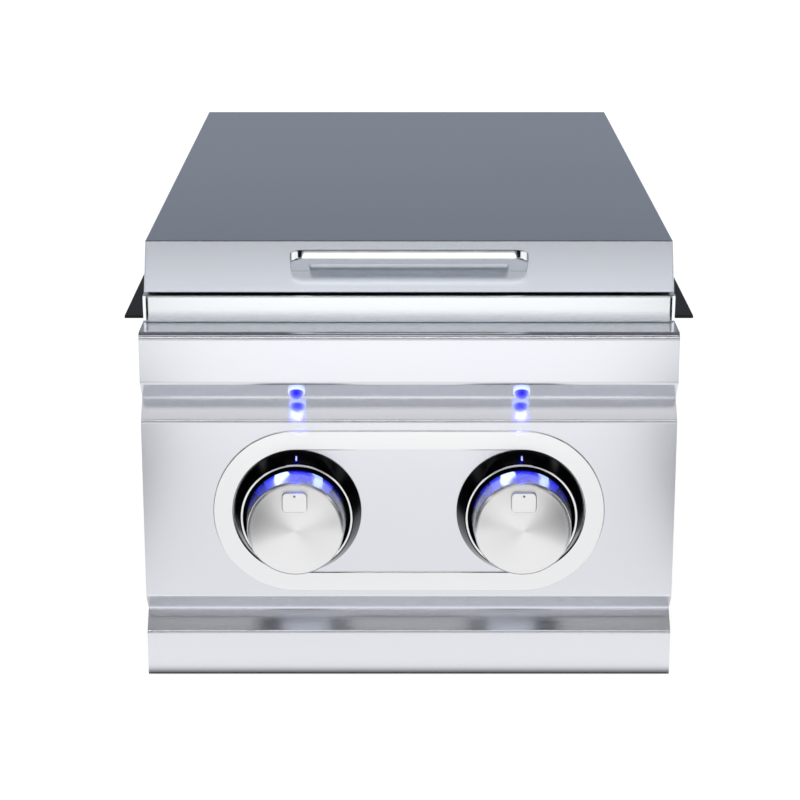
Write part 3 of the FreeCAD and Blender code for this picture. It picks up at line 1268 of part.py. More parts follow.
def fasteners():
    """Screws that hold the bezels to the panel and the rails to the box."""
    screws = list(PANEL_SCREWS)
    for i in range(4):
        for side, sign in (("L", "-1"), ("R", "1")):
            x = (f"{sign} * box_width / 2 + ({sign} - 1) / 2 * (rail_gauge + 2)"
                 f" + ({sign} + 1) / 2 * rail_gauge")
            head = rod(f"RailScrew{i}{side}", "screw_head + 0.6", "2", x,
                       f"rail_front + rail_length * (0.12 + {i} * 0.25)",
                       "panel_height - rail_leg / 2 - rail_gauge / 2", ALONG_X)
            screws.append(head)
    keep(group("MachineScrews", screws), "machine_screws")


control_panel()
panel_ends()
top_frame()
burner_box()
hanger_rails()
partition()
spill_tray()
lid()
lid_handle()
hinges()
lid_bumpers()
valves()
knobs()
bezels()
lamps()
manifold()
mixing_tubes()
burners()
electrodes()
cooking_grates()
fasteners()
doc.recompute()

faults = [f.Name for f in doc.Objects if {"Invalid", "Error"} & set(f.State)]
for sub_part in SUB_PARTS:
    if sub_part.Shape.isNull() or not sub_part.Shape.isValid() or not sub_part.Shape.Solids:
        faults.append(sub_part.Label)
if faults:
    raise RuntimeError("not built: " + ", ".join(faults))
os.makedirs("parts", exist_ok=True)
for sub_part in SUB_PARTS:
    sub_part.Shape.exportStep(f"parts/{sub_part.Label}.step")
print(len(SUB_PARTS), "sub-parts")
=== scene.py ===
"""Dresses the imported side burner: folded sheet, chrome, knobs, lamps and grates, in a small studio."""

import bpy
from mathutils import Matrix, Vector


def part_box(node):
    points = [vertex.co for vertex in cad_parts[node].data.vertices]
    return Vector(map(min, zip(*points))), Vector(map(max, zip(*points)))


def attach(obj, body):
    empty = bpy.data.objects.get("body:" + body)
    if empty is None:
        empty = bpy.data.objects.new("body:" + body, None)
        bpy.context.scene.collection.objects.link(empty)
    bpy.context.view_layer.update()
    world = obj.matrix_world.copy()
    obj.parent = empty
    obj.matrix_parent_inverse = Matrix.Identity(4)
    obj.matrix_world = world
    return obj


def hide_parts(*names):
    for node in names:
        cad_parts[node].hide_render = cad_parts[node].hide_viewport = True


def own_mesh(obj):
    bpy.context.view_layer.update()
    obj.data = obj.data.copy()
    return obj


bl_info = {
    "name": "Side Burner",
    "version": (1, 0, 0),
    "blender": (4, 5, 0),
    "location": "3D View > Sidebar > Side Burner",
    "description": "Models the visible pieces of a two-burner side burner around its packed frame",
    "category": "Add Mesh",
}

import math

import bpy
from bpy.props import FloatProperty, FloatVectorProperty, IntProperty, PointerProperty
from mathutils import Matrix, Vector

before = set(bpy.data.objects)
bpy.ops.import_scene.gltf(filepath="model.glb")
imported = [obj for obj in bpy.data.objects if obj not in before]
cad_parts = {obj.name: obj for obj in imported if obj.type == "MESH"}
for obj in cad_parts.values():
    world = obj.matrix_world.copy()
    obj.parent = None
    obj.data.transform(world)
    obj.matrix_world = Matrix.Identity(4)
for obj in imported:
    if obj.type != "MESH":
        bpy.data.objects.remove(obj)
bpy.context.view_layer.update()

MM = 0.001
TOUCH = 0.02 * MM
SIDES = ("left", "right")
PANEL_LOW, PANEL_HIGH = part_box("control_panel")
RIM_LOW, RIM_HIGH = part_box("top_frame")
LID_LOW, LID_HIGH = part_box("lid_shell")
KNOB_LOW, KNOB_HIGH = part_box("knob_right")
BEZEL_LOW, BEZEL_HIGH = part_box("bezel_right")
PANEL_FACE = BEZEL_HIGH.y
KNOB_CENTRE = (BEZEL_LOW + BEZEL_HIGH) / 2

# Fixed details that the sliders don't change.
PANEL_GAUGE = 1.2 * MM
GROOVE_LEAN = math.radians(43.83)
LAMP_AXIS = Vector((0, math.cos(GROOVE_LEAN), math.sin(GROOVE_LEAN)))
RUN_PAST = 5 * MM                     # how far a cutter runs past what it cuts
STEM_HOLE, LAMP_HOLE = 10 * MM, 3.5 * MM
LAMP_CUT = 20 * MM                    # half the length of the lamp's drill
HUB, STEM_BORE = 8 * MM, 4.05 * MM
PAD_CORNER, PAD_EDGE = 3 * MM, 0.7 * MM
DOT_INSET, DOT_RISE, DOT_EDGE = 2.2 * MM, 0.4 * MM, 0.15 * MM
HANDLE_EDGE, HANDLE_INSIDE = 2.8 * MM, 1.2 * MM
BEZEL_HUB, BEZEL_FLOOR, BEZEL_RIM = 10 * MM, 2 * MM, 1.6 * MM
LINE_LOW, LINE_HIGH = (-0.5 * MM, -0.15 * MM, -4 * MM), (0.5 * MM, 0.3 * MM, 4 * MM)
LENS_FLOOR, LAMP_FRONT = 0.5 * MM, 1.8 * MM
LAMP_BARREL, LAMP_DEPTH, WIRE_HOLE = 3.4 * MM, 14 * MM, 0.8 * MM
KNOB_SHINE = 25 * MM                  # panel to the middle of the light on a knob's side
GLOW_AIR, GLOW_INSET = 0.6 * MM, 1.5 * MM
GLOW_WIDTH, GLOW_DEPTH = 13 * MM, 8 * MM

# Painted shade: how bright polished metal sees the floor, darker near the object and darkest at its foot.
# Metres out from the origin to the front or the back (the distance beside the rim counts on from the first
# of them), and tone.
FLOOR_MIRROR_SHADE = ((0.283, 0.02), (0.291, 0.78), (0.385, 0.76), (0.46, 0.72), (0.84, 0.72), (0.95, 1.0))

# Studio cards that only polished metal sees: name, span in y, span in z, half the width, all in
# metres, then tone and strength.
CARDS = (
    ("back_card", (1.6, 1.65), (0.0, 0.76), 3.0, "#949AA4", 1.0),
    ("high_back_card", (1.6, 1.65), (0.76, 2.2), 3.0, "#70757E", 1.0),
    ("softbox", (-1.68, -1.33), (1.3, 1.35), 1.5, "#FFFFFF", 2.1),
    ("ceiling_front", (-1.33, -0.82), (1.3, 1.35), 1.5, "#101014", 1.0),
    ("ceiling_card", (-0.54, -0.12), (1.3, 1.35), 1.5, "#101014", 1.0),
    ("ceiling_rear", (-0.12, 1.6), (1.3, 1.35), 1.5, "#6A6D74", 1.0),
    ("front_card", (-2.25, -2.2), (0.25, 0.55), 1.6, "#5A5C62", 1.0),
    ("high_front_card", (-2.25, -2.2), (1.0, 1.75), 1.6, "#0C0C10", 1.0),
)
# The same for cards that stand on both sides: name, span in x on the right, in y and in z, and tone.
SIDE_CARDS = (
    ("card", (0.40, 0.42), (-0.75, -0.1), (0.5, 1.2), "#0C0D10"),
    ("wing", (0.29, 0.30), (-0.9, -0.33), (0.0, 0.3), "#0C0D10"),
    ("mat", (0.215, 0.29), (-0.9, -0.33), (0.0, 0.004), "#6A6C72"),
)

# The lamp's light as the side of a knob mirrors it: degrees from the top, watts and colour.
KNOB_GLOW = (
    (-66, 0.0001, "#1A1ED0"), (-50, 0.0002, "#2A34FF"), (-35, 0.0004, "#3444FF"), (-20, 0.0010, "#B8CCFF"),
    (-4, 0.0004, "#1C24F0"), (12, 0.0004, "#1C24F0"), (27, 0.0008, "#9FB0FF"), (42, 0.0003, "#2A34FF"),
    (58, 0.0001, "#1A1ED0"),
)

# Pieces inside and behind, made from their CAD nodes: the node's stem, where it repeats, its body,
# its material slot, its finish and how far its edges are rounded, in millimetres.
ALONE, ENDS, HANDS = ("",), ("_front", "_rear"), ("_left", "_right")
INNER = (
    ("burner_box", ALONE, "root", "box_steel", "mill", 0.5),
    ("heat_partition", ALONE, "root", "box_steel", "mill", 0),
    ("spill_tray", ALONE, "root", "tray_steel", "mill", 0),
    ("cooking_grate", ENDS, "root", "grate_iron", "iron", 0.9),
    ("burner_bowl", ENDS, "root", "casting", "casting", 0.6),
    ("burner_cap", ENDS, "root", "brass", "brass", 0),
    ("mixing_tube", ENDS, "root", "tube_steel", "zinc", 0),
    ("spark_electrode", ENDS, "root", "ceramic", "ceramic", 0),
    ("electrode_straps", ALONE, "root", "screw_steel", "zinc", 0),
    ("gas_manifold", ALONE, "root", "pipe_steel", "zinc", 0),
    ("manifold_cap", ALONE, "root", "pipe_steel", "zinc", 0.5),
    ("manifold_bracket", HANDS, "root", "box_steel", "mill", 0.2),
    ("gas_inlet", ALONE, "root", "brass", "brass", 0.3),
    ("pipe_grommet", ALONE, "root", "rubber", "rubber", 0.3),
    ("lid_bumpers", ALONE, "root", "rubber", "rubber", 0.3),
    ("hinge_base", HANDS, "root", "screw_steel", "zinc", 0.2),
    ("hinge_pin", HANDS, "root", "stem_steel", "zinc", 0.3),
    ("valve_body", HANDS, "root", "valve_metal", "casting", 0),
    ("valve_bonnet", HANDS, "root", "valve_metal", "casting", 0.3),
    ("gas_injector", HANDS, "root", "brass", "brass", 0),
    ("air_shutter", ENDS, "shutter", "tube_steel", "zinc", 0),
    ("hinge_leaf", HANDS, "lid", "screw_steel", "zinc", 0),
    ("valve_plug", HANDS, "plug", "brass", "brass", 0),
    ("stem_spring", HANDS, "plug", "spring_steel", "zinc", 0),
    ("valve_stem", HANDS, "knob", "stem_steel", "zinc", 0),
)
SINGLE_BODIES = ("root", "lid")


def middle_x(node):
    """Where the middle of a CAD node lies from side to side."""
    low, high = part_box(node)
    return (low.x + high.x) / 2


def linear(hex_colour):
    """An sRGB hex colour as linear RGBA."""
    channels = [int(hex_colour[i:i + 2], 16) / 255 for i in (1, 3, 5)]
    return tuple(c / 12.92 if c <= 0.04045 else ((c + 0.055) / 1.055) ** 2.4 for c in channels) + (1.0,)


def length(name, millimetres, description):
    """A length that the user may change, given in millimetres."""
    return FloatProperty(name=name, default=millimetres * MM, unit="LENGTH", description=description)


def colour(name, hex_colour, description):
    return FloatVectorProperty(name=name, size=4, subtype="COLOR", min=0, max=1,
                               default=linear(hex_colour), description=description)


class PanelSizes(bpy.types.PropertyGroup):
    gauge: length("Sheet", 1.2, "Thickness of the stainless sheet")
    foot: length("Foot", 13.5, "Fold back under the panel")
    band: length("Band", 30, "Flat band under the lower groove")
    groove: length("Groove", 25, "Each V groove, lip to lip")
    groove_depth: length("Groove depth", 12, "Face to the bottom of a groove")
    nose: length("Nose", 33, "Plain strip above the upper groove")
    nose_radius: length("Nose radius", 5, "Bend from the nose to the ledge")
    bend: length("Bend", 1.5, "Setback of the sharper bends")
    foot_bend: length("Foot bend", 1.5, "Setback of the bend at the panel's foot")
    track_length: length("Track length", 252.8, "Raised track, end to end")
    track_height: length("Track height", 108.8, "Raised track, top to bottom")
    track_band: length("Track band", 12.8, "Width of the raised track")
    track_rise: length("Track rise", 1.5, "How far the track stands out")
    track_slope: length("Track slope", 0.6, "Width of the track's sloping sides")


class LidSizes(bpy.types.PropertyGroup):
    slope: FloatProperty(name="Slope", default=math.radians(28), subtype="ANGLE",
                         description="Lean of the front face from upright")
    gauge: length("Sheet", 1.2, "Thickness of the lid's sheet")
    radius: length("Bend", 0.8, "Outer radius of the lid's bends")
    hem: length("Hem", 10, "Hem folded inwards along the lower edge")
    handle_length: length("Handle", 152, "Handle, end to end")
    handle_standoff: length("Standoff", 29, "Lid's face to the handle's front")
    handle_bar: length("Bar", 13, "Depth of the handle's bar and legs")
    handle_thickness: length("Thickness", 6.5, "Thickness of the handle")
    handle_radius: length("Corner", 10, "Outer corners of the handle")


class RimSizes(bpy.types.PropertyGroup):
    land: length("Land", 26, "Flat top at the front and sides")
    back_land: length("Back land", 46, "Flat top behind the opening")
    skirt: length("Skirt", 14, "Inner skirt, top to bottom")
    opening_corner: length("Opening corner", 8, "Corners of the opening")
    hem: length("Hem", 6, "Return folded inwards along the rim's foot")
    foot: length("Foot bend", 1.6, "Bend from the side to the return")
    corner: length("Corner", 4, "Upright corners")
    edge: length("Edge", 1.5, "Bend from the top to the side")


class KnobSizes(bpy.types.PropertyGroup):
    radius: length("Radius", 30.8, "Knob's front edge")
    back_radius: length("Back radius", 32.4, "Knob's back edge")
    crown: length("Crown", 3.2, "Bulge of the knob's face")
    edge: length("Edge", 2.8, "Rounding between face and side")
    wall: length("Wall", 2.4, "Knob's wall")
    pad_width: length("Pad width", 16, "Raised pointer pad")
    pad_height: length("Pad height", 13, "Raised pointer pad along the radius")
    pad_offset: length("Pad offset", 19.3, "Knob's axis to the middle of the pad")
    pad_rise: length("Pad rise", 1.2, "Pad above the middle of the face")
    dot: length("Dot", 0.85, "Radius of the pointer's black dot")
    bezel_lip: length("Bezel lip", 36.2, "Bezel's outer radius at its lip")
    bezel_bore: length("Bezel bore", 34, "Bezel's inner radius")
    # Painted highlight: the bright ring on the bezel's lip stands for the light its rounded chrome lip
    # catches.
    highlight_half_width: length("Lip highlight", 0.65, "Half the width of the bright bead along the bezel's lip")
    lamp: length("Lamp", 5.4, "Radius of a lamp's flange")
    lamp_ring: length("Lamp ring", 0.7, "Width of the flange around a lamp's lens")


class Finishes(bpy.types.PropertyGroup):
    panel: colour("Panel", "#EEF0F6", "Brushed sheet of the control panel")
    # The track is the panel's own sheet: smoother, and lighter as a painted highlight.
    track: colour("Track", "#FCFDFF", "Polished crest of the raised track")
    rim: colour("Rim", "#F4F8FB", "Brushed sheet of the rim")
    lid: colour("Lid", "#D6DAE2", "Brushed sheet of the lid")
    mill: colour("Mill finish", "#B9BCC0", "Unpolished sheet inside")
    chrome: colour("Chrome", "#F2F5F8", "Polished chrome plate")
    # Painted reflection: the bezels' chrome gets a near-black base for the dark surroundings it mirrors.
    painted_dark_chrome: colour("Chrome painted dark", "#08080B", "Dark mirror plate of the bezels")
    satin: colour("Satin plate", "#C8CCD6", "Satin plate around the knobs")
    face: colour("Knob face", "#FFFFFF", "Bright plate on the knobs' faces")
    # The rails are near-black and satin.
    rail: colour("Rail", "#050608", "Satin black paint of the rails")
    iron: colour("Iron", "#17181A", "Matt enamel of the grates")
    casting: colour("Casting", "#5B5C5E", "Cast burner bowls and valves")
    brass: colour("Brass", "#C9A45A", "Machined brass")
    lamp: colour("Lamp", "#1008E0", "Lit lamp")
    glow: colour("Glow", "#2A34FF", "Light that a lamp throws")


class StudioSizes(bpy.types.PropertyGroup):
    lens: FloatProperty(name="Lens", default=105.4,
                        description="Focal length in millimetres on a 36 mm sensor")
    pitch: FloatProperty(name="Pitch", default=math.radians(15.98), subtype="ANGLE",
                         description="How far the camera looks down")
    side: length("Camera side", -5.8, "Camera to the right of the middle")
    distance: length("Camera distance", 1435.6, "Camera in front of the panel's face")
    height: length("Camera height", 599.4, "Camera above the floor")
    key: FloatProperty(name="Key", default=9.0, description="Power of the key light in watts")
    fill: FloatProperty(name="Fill", default=0.75, description="Strength of the world's soft light")
    steps: IntProperty(name="Steps", default=128, description="Segments of a full turn on round pieces")


GROUPS = (
    (PanelSizes, "burner_panel"),
    (LidSizes, "burner_lid"),
    (RimSizes, "burner_rim"),
    (KnobSizes, "burner_knob"),
    (Finishes, "burner_finish"),
    (StudioSizes, "burner_studio"),
)


# Modelling by hand: pick, extrude, bevel and spin.


def only(piece):
    bpy.ops.object.select_all(action="DESELECT")
    piece.select_set(True)
    bpy.context.view_layer.objects.active = piece


def pick(piece, kind, test):
    """Enter edit mode on piece with just those faces, edges or vertices selected that pass the test."""
    only(piece)
    bpy.ops.object.mode_set(mode="EDIT")
    bpy.ops.mesh.select_mode(type=kind)
    bpy.ops.mesh.select_all(action="DESELECT")
    bpy.ops.object.mode_set(mode="OBJECT")
    mesh = piece.data
    if kind == "FACE":
        for face in mesh.polygons:
            face.select = test(face.center, face.normal)
    elif kind == "EDGE":
        for edge in mesh.edges:
            a, b = (mesh.vertices[i].co for i in edge.vertices)
            edge.select = test(a, b)
    else:
        for vertex in mesh.vertices:
            vertex.select = test(vertex.co)
    bpy.ops.object.mode_set(mode="EDIT")


def done():
    bpy.ops.object.mode_set(mode="OBJECT")


def near(a, b):
    return abs(a - b) < TOUCH


def bevel(piece, test, setback, segments):
    """Round the edges that pass the test."""
    pick(piece, "EDGE", test)
    bpy.ops.mesh.bevel(offset=setback, segments=segments)
    done()


def push(piece, test, shift):
    """Move the vertices that pass the test."""
    pick(piece, "VERT", test)
    bpy.ops.transform.translate(value=shift)
    done()


def block(name, low, high):
    """A box between two corners, with its place in its mesh."""
    low, high = Vector(low), Vector(high)
    bpy.ops.object.select_all(action="DESELECT")
    bpy.ops.mesh.primitive_cube_add(size=1, location=(low + high) / 2, scale=high - low)
    piece = bpy.context.object
    piece.name = name
    bpy.ops.object.transform_apply(location=True, rotation=True, scale=True)
    return piece


def rounded_block(name, low, high, corner, edge=None, foot=None):
    """A box with rounded upright corners and, if asked, a rounded edge around its top and its bottom."""
    piece = block(name, low, high)
    bevel(piece, lambda a, b: not near(a.z, b.z), corner, 8)
    for level, setback in ((high[2], edge), (low[2], foot)):
        if setback:
            bevel(piece, lambda a, b: near(a.z, level) and near(b.z, level), setback, 5)
    return piece


def drawn(name, points, closed=False):
    """A line of edges through points, drawn by extruding one vertex."""
    bpy.ops.object.select_all(action="DESELECT")
    bpy.ops.mesh.primitive_plane_add(size=1, location=(0, 0, 0))
    piece = bpy.context.object
    piece.name = name
    bpy.ops.object.mode_set(mode="EDIT")
    bpy.ops.mesh.select_mode(type="VERT")
    bpy.ops.mesh.select_all(action="SELECT")
    bpy.ops.mesh.merge(type="CENTER")
    bpy.ops.transform.translate(value=points[0])
    for start, end in zip(points, points[1:]):
        bpy.ops.mesh.extrude_vertices_move(
            TRANSFORM_OT_translate={"value": Vector(end) - Vector(start)})
    if closed:
        bpy.ops.mesh.select_all(action="SELECT")
        bpy.ops.mesh.edge_face_add()
    done()
    return piece


def round_corner(piece, corner, setback, segments=5):
    """Round one corner of a drawn line or outline."""
    pick(piece, "VERT", lambda co: (co - Vector(corner)).length < TOUCH)
    bpy.ops.mesh.bevel(offset=setback, segments=segments, affect="VERTICES")
    done()


def outward(piece):
    """Merge doubles and point every face outwards."""
    pick(piece, "VERT", lambda co: True)
    bpy.ops.mesh.remove_doubles(threshold=0.001 * MM)
    bpy.ops.mesh.normals_make_consistent(inside=False)
    done()


def modify(piece, kind, **settings):
    """Add a modifier with its settings and apply it."""
    only(piece)
    bpy.ops.object.modifier_add(type=kind)
    modifier = piece.modifiers[-1]
    for key, value in settings.items():
        setattr(modifier, key, value)
    bpy.ops.object.modifier_apply(modifier=modifier.name)


def soften(piece, width, segments=3, angle=30):
    """Round every edge sharper than an angle in degrees."""
    modify(piece, "BEVEL", width=width, segments=segments, limit_method="ANGLE",
           angle_limit=math.radians(angle), harden_normals=False, use_clamp_overlap=True)


def smooth(piece, angle=35):
    """Shade the bends smooth and keep the large faces flat."""
    only(piece)
    bpy.ops.object.shade_smooth_by_angle(angle=math.radians(angle))
    modify(piece, "WEIGHTED_NORMAL", weight=100, keep_sharp=True)


def combine(piece, others, operation="UNION"):
    """Join other solids to a piece, or cut them out of it, and remove them."""
    for other in others:
        modify(piece, "BOOLEAN", operation=operation, object=other, solver="EXACT")
        bpy.data.objects.remove(other)


def lathe(name, profile, centre, axis=(0, 1, 0), steps=None):
    """Spin a profile of (radius, reach) points about an axis through centre; reach runs along the axis."""
    axis = Vector(axis)
    across = axis.orthogonal().normalized()
    points = [Vector(centre) + axis * reach + across * radius for radius, reach in profile]
    piece = drawn(name, points)
    pick(piece, "VERT", lambda co: True)
    bpy.ops.mesh.spin(steps=steps or bpy.context.scene.burner_studio.steps, angle=math.tau,
                      center=centre, axis=axis)
    done()
    outward(piece)
    return piece


def rod(name, radius, start, end, segments=64):
    """A plain cylinder between two points, used to cut holes or as the start of a round piece."""
    start, end = Vector(start), Vector(end)
    bpy.ops.object.select_all(action="DESELECT")
    bpy.ops.mesh.primitive_cylinder_add(vertices=segments, radius=radius, depth=(end - start).length,
                                        location=(start + end) / 2,
                                        rotation=(end - start).to_track_quat("Z", "Y").to_euler())
    piece = bpy.context.object
    piece.name = name
    bpy.ops.object.transform_apply(location=True, rotation=True, scale=True)
    return piece


def placed(piece, matrix):
    """Move a finished piece by a matrix, into its mesh."""
    piece.matrix_world = matrix
    only(piece)
    bpy.ops.object.transform_apply(location=True, rotation=True, scale=True)
    return piece


def twin(piece, name, shift):
    """A copy of a piece with its own mesh, moved by shift."""
    only(piece)
    bpy.ops.object.duplicate(linked=False)
    copy = bpy.context.object
    copy.name = name
    return placed(copy, Matrix.Translation(shift))


def copied(node, name, width=None, angle=30):
    """A merged copy of a CAD node with its flat faces made whole and its edges softened."""
    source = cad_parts[node]
    piece = bpy.data.objects.new(name, source.data.copy())
    bpy.context.scene.collection.objects.link(piece)
    piece.data.materials.clear()
    pick(piece, "VERT", lambda co: True)
    bpy.ops.mesh.remove_doubles(threshold=0.002 * MM)
    bpy.ops.mesh.dissolve_limited(angle_limit=math.radians(0.5))
    done()
    if width:
        soften(piece, width, 2, angle)
    smooth(piece, 30)
    return piece


def seat(piece, body, slot_name, finish, *nodes):
    """Give a finished piece its material, and set it on its body in place of the CAD nodes it stands for."""
    piece.data.name = piece.name
    piece.data.materials.clear()
    piece.data.materials.append(finish)
    if nodes:
        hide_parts(*nodes)
    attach(piece, body)
    return piece


def second_finish(piece, finish, test):
    """Give the faces that pass the test a second material."""
    piece.data.materials.append(finish)
    for face in piece.data.polygons:
        if test(face.center, face.normal):
            face.material_index = 1


# Finishes.


def add(tree, kind, settings=None, links=None):
    """Add a node, set its properties and socket values, and link its inputs."""
    node = tree.nodes.new(kind)
    for key, value in (settings or {}).items():
        if isinstance(key, str) and hasattr(node, key):
            setattr(node, key, value)
        else:
            node.inputs[key].default_value = value
    for key, source in (links or {}).items():
        tree.links.new(source, node.inputs[key])
    return node


def new_finish(name):
    """An empty material with its shader, and the Object coordinates in metres."""
    material = bpy.data.materials.new(name)
    material.use_nodes = True
    tree = material.node_tree
    tree.nodes.clear()
    shader = add(tree, "ShaderNodeBsdfPrincipled")
    output = add(tree, "ShaderNodeOutputMaterial", links={"Surface": shader.outputs[0]})
    place = add(tree, "ShaderNodeTexCoord").outputs["Object"]
    return material, tree, shader, output, place


def shaded(tree, base, factor, dark=0.9, light=1.06):
    """The base colour, varied between a darker and a lighter tone by a factor."""
    tones = [tuple(min(c * k, 1.0) for c in base[:3]) + (1.0,) for k in (dark, light)]
    return add(tree, "ShaderNodeMix", {"data_type": "RGBA", 6: tones[0], 7: tones[1]},
               {0: factor}).outputs[2]


def noise(tree, place, scale, detail=2.0, roughness=0.5):
    return add(tree, "ShaderNodeTexNoise", {"Scale": scale, "Detail": detail, "Roughness": roughness},
               {"Vector": place}).outputs[0]


def reckoned(tree, operation, *values):
    """A Math node whose inputs are numbers or other nodes' outputs."""
    numbers = {i: value for i, value in enumerate(values) if isinstance(value, (int, float))}
    links = {i: value for i, value in enumerate(values) if i not in numbers}
    return add(tree, "ShaderNodeMath", {"operation": operation, **numbers}, links).outputs[0]


def surface(tree, shader, tones, roughness, metallic=1.0, relief=None):
    """Link a finish's colour and roughness, and its relief given as height, strength and distance."""
    tree.links.new(tones, shader.inputs["Base Color"])
    tree.links.new(roughness, shader.inputs["Roughness"])
    shader.inputs["Metallic"].default_value = metallic
    if relief:
        height, strength, distance = relief
        bump = add(tree, "ShaderNodeBump", {"Strength": strength, "Distance": distance}, {"Height": height})
        tree.links.new(bump.outputs[0], shader.inputs["Normal"])


def ranged(tree, factor, low, high):
    return add(tree, "ShaderNodeMapRange", {"To Min": low, "To Max": high}, {"Value": factor}).outputs[0]


def brushed_sheet(name, base, grain=(4.0, 900.0, 900.0), low=0.18, high=0.26, bump=0.006):
    """Stainless sheet brushed by an abrasive belt: fine lines that run one way, soft long reflections.

    The real lines are about 0.05 mm apart; they are drawn about 1 mm apart, so that they show.
    """
    material, tree, shader, _, place = new_finish(name)
    stretched = add(tree, "ShaderNodeMapping", {"Scale": grain}, {"Vector": place}).outputs[0]
    lines = noise(tree, stretched, 1.0, 3.0, 0.6)
    cloud = noise(tree, place, 9.0)
    both = reckoned(tree, "MULTIPLY_ADD", lines, 0.7, ranged(tree, cloud, 0.0, 0.3))
    surface(tree, shader, shaded(tree, base, both, 0.96, 1.03), ranged(tree, both, low, high),
            relief=(lines, bump, 0.1 * MM))
    shader.inputs["Anisotropic"].default_value = 0.4
    across = add(tree, "ShaderNodeCombineXYZ", {"Y": 0.3, "Z": 1.0})
    tree.links.new(across.outputs[0], shader.inputs["Tangent"])
    return material


def plated(name, base, roughness=0.06, blur=0.03):
    """Bright plate over polished metal: sharp reflections with a faint haze of fingerprints."""
    material, tree, shader, _, place = new_finish(name)
    haze = noise(tree, place, 60.0, 4.0)
    surface(tree, shader, shaded(tree, base, haze, 0.97, 1.02),
            ranged(tree, haze, roughness, roughness + blur))
    return material


def turned_plate(name, base):
    """Zinc faced on a lathe and plated: rings too fine to see stretch each reflection out from the axis."""
    material, tree, shader, _, place = new_finish(name)
    haze = noise(tree, place, 60.0, 4.0)
    surface(tree, shader, shaded(tree, base, haze, 0.98, 1.02), ranged(tree, haze, 0.32, 0.36))
    shader.inputs["Anisotropic"].default_value = 0.85
    shader.inputs["Anisotropic Rotation"].default_value = 0.25
    rings = add(tree, "ShaderNodeTangent", {"direction_type": "RADIAL", "axis": "Y"})
    tree.links.new(rings.outputs[0], shader.inputs["Tangent"])
    return material


def satin_plate(name, base):
    """Bead-blasted and plated zinc: a fine even grain of about 0.2 mm that blurs what it reflects."""
    material, tree, shader, _, place = new_finish(name)
    grit = noise(tree, place, 2500.0)
    surface(tree, shader, shaded(tree, base, grit, 0.96, 1.03), ranged(tree, grit, 0.22, 0.28),
            relief=(grit, 0.05, 0.05 * MM))
    return material


def rough_cast(name, base, metallic=0.0, roughness=0.6, grain=900.0, bump=0.25):
    """Sand-cast or enamelled surface: small pits of about a millimetre that scatter the light."""
    material, tree, shader, _, place = new_finish(name)
    pits = noise(tree, place, grain, 5.0, 0.65)
    patches = noise(tree, place, 25.0)
    surface(tree, shader, shaded(tree, base, patches, 0.8, 1.15),
            ranged(tree, pits, roughness - 0.08, roughness + 0.1), metallic, (pits, bump, 0.15 * MM))
    return material


def lit_lens(name, base):
    """Clear blue lens over a light-emitting chip: deep blue in the middle, paler towards its rim."""
    material, tree, shader, output, place = new_finish(name)
    facing = add(tree, "ShaderNodeLayerWeight", {"Blend": 0.5}).outputs["Facing"]
    glow = add(tree, "ShaderNodeMix", {"data_type": "RGBA", 6: base, 7: linear("#C8D2FF")}, {0: facing})
    tree.links.new(glow.outputs[2], shader.inputs["Emission Color"])
    tree.links.new(ranged(tree, noise(tree, place, 700.0), 0.04, 0.10), shader.inputs["Roughness"])
    shader.inputs["Base Color"].default_value = base
    shader.inputs["Emission Strength"].default_value = 1.0
    return material


FINISHES = {}


def finish(name):
    """The object's finishes, each made once."""
    if not FINISHES:
        tones = bpy.context.scene.burner_finish
        front_to_back, turned = (900.0, 4.0, 900.0), (900.0, 900.0, 4.0)
        FINISHES.update({
            "panel": brushed_sheet("Brushed stainless panel", tones.panel),
            # Painted highlight: the track's sheet is the panel's, made lighter as well as smoother.
            "track": brushed_sheet("Polished stainless track", tones.track, low=0.14, high=0.2),
            "rim": brushed_sheet("Brushed stainless rim", tones.rim),
            "lid": brushed_sheet("Brushed stainless lid", tones.lid),
            "mill": brushed_sheet("Mill finish sheet", tones.mill, front_to_back, 0.34, 0.5, 0.05),
            "chrome": plated("Polished chrome", tones.chrome),
            # Painted reflection: near-black base on the bezels' chrome.
            "painted_dark_chrome": plated("Chrome painted dark", tones.painted_dark_chrome, 0.10),
            "satin": satin_plate("Satin plated zinc", tones.satin),
            "turned": turned_plate("Turned and plated zinc", tones.face),
            "rail": rough_cast("Near-black satin finish", tones.rail, 0.0, 0.5, 1500.0, 0.05),
            "iron": rough_cast("Matt black enamel", tones.iron, 0.0, 0.55),
            "casting": rough_cast("Cast aluminium", tones.casting, 0.9, 0.45),
            "brass": brushed_sheet("Machined brass", tones.brass, turned, 0.22, 0.34, 0.03),
            "zinc": rough_cast("Zinc plated steel", linear("#9A9C9A"), 1.0, 0.35, 400.0, 0.04),
            "ceramic": rough_cast("Glazed ceramic", linear("#EFEBE0"), 0.0, 0.16, 300.0, 0.03),
            "rubber": rough_cast("Black silicone", linear("#141416"), 0.0, 0.7, 700.0, 0.1),
            "lamp": lit_lens("Lit blue lens", tones.lamp),
            "lamp_ring": lit_lens("Lit clear ring", linear("#B8C4FF")),
            "ink": rough_cast("Black enamel mark", linear("#08080A"), 0.0, 0.3, 900.0, 0.02),
            "pale_ink": rough_cast("White enamel mark", linear("#E8E8EC"), 0.0, 0.3, 900.0, 0.02),
        })
    return FINISHES[name]


# Pieces.


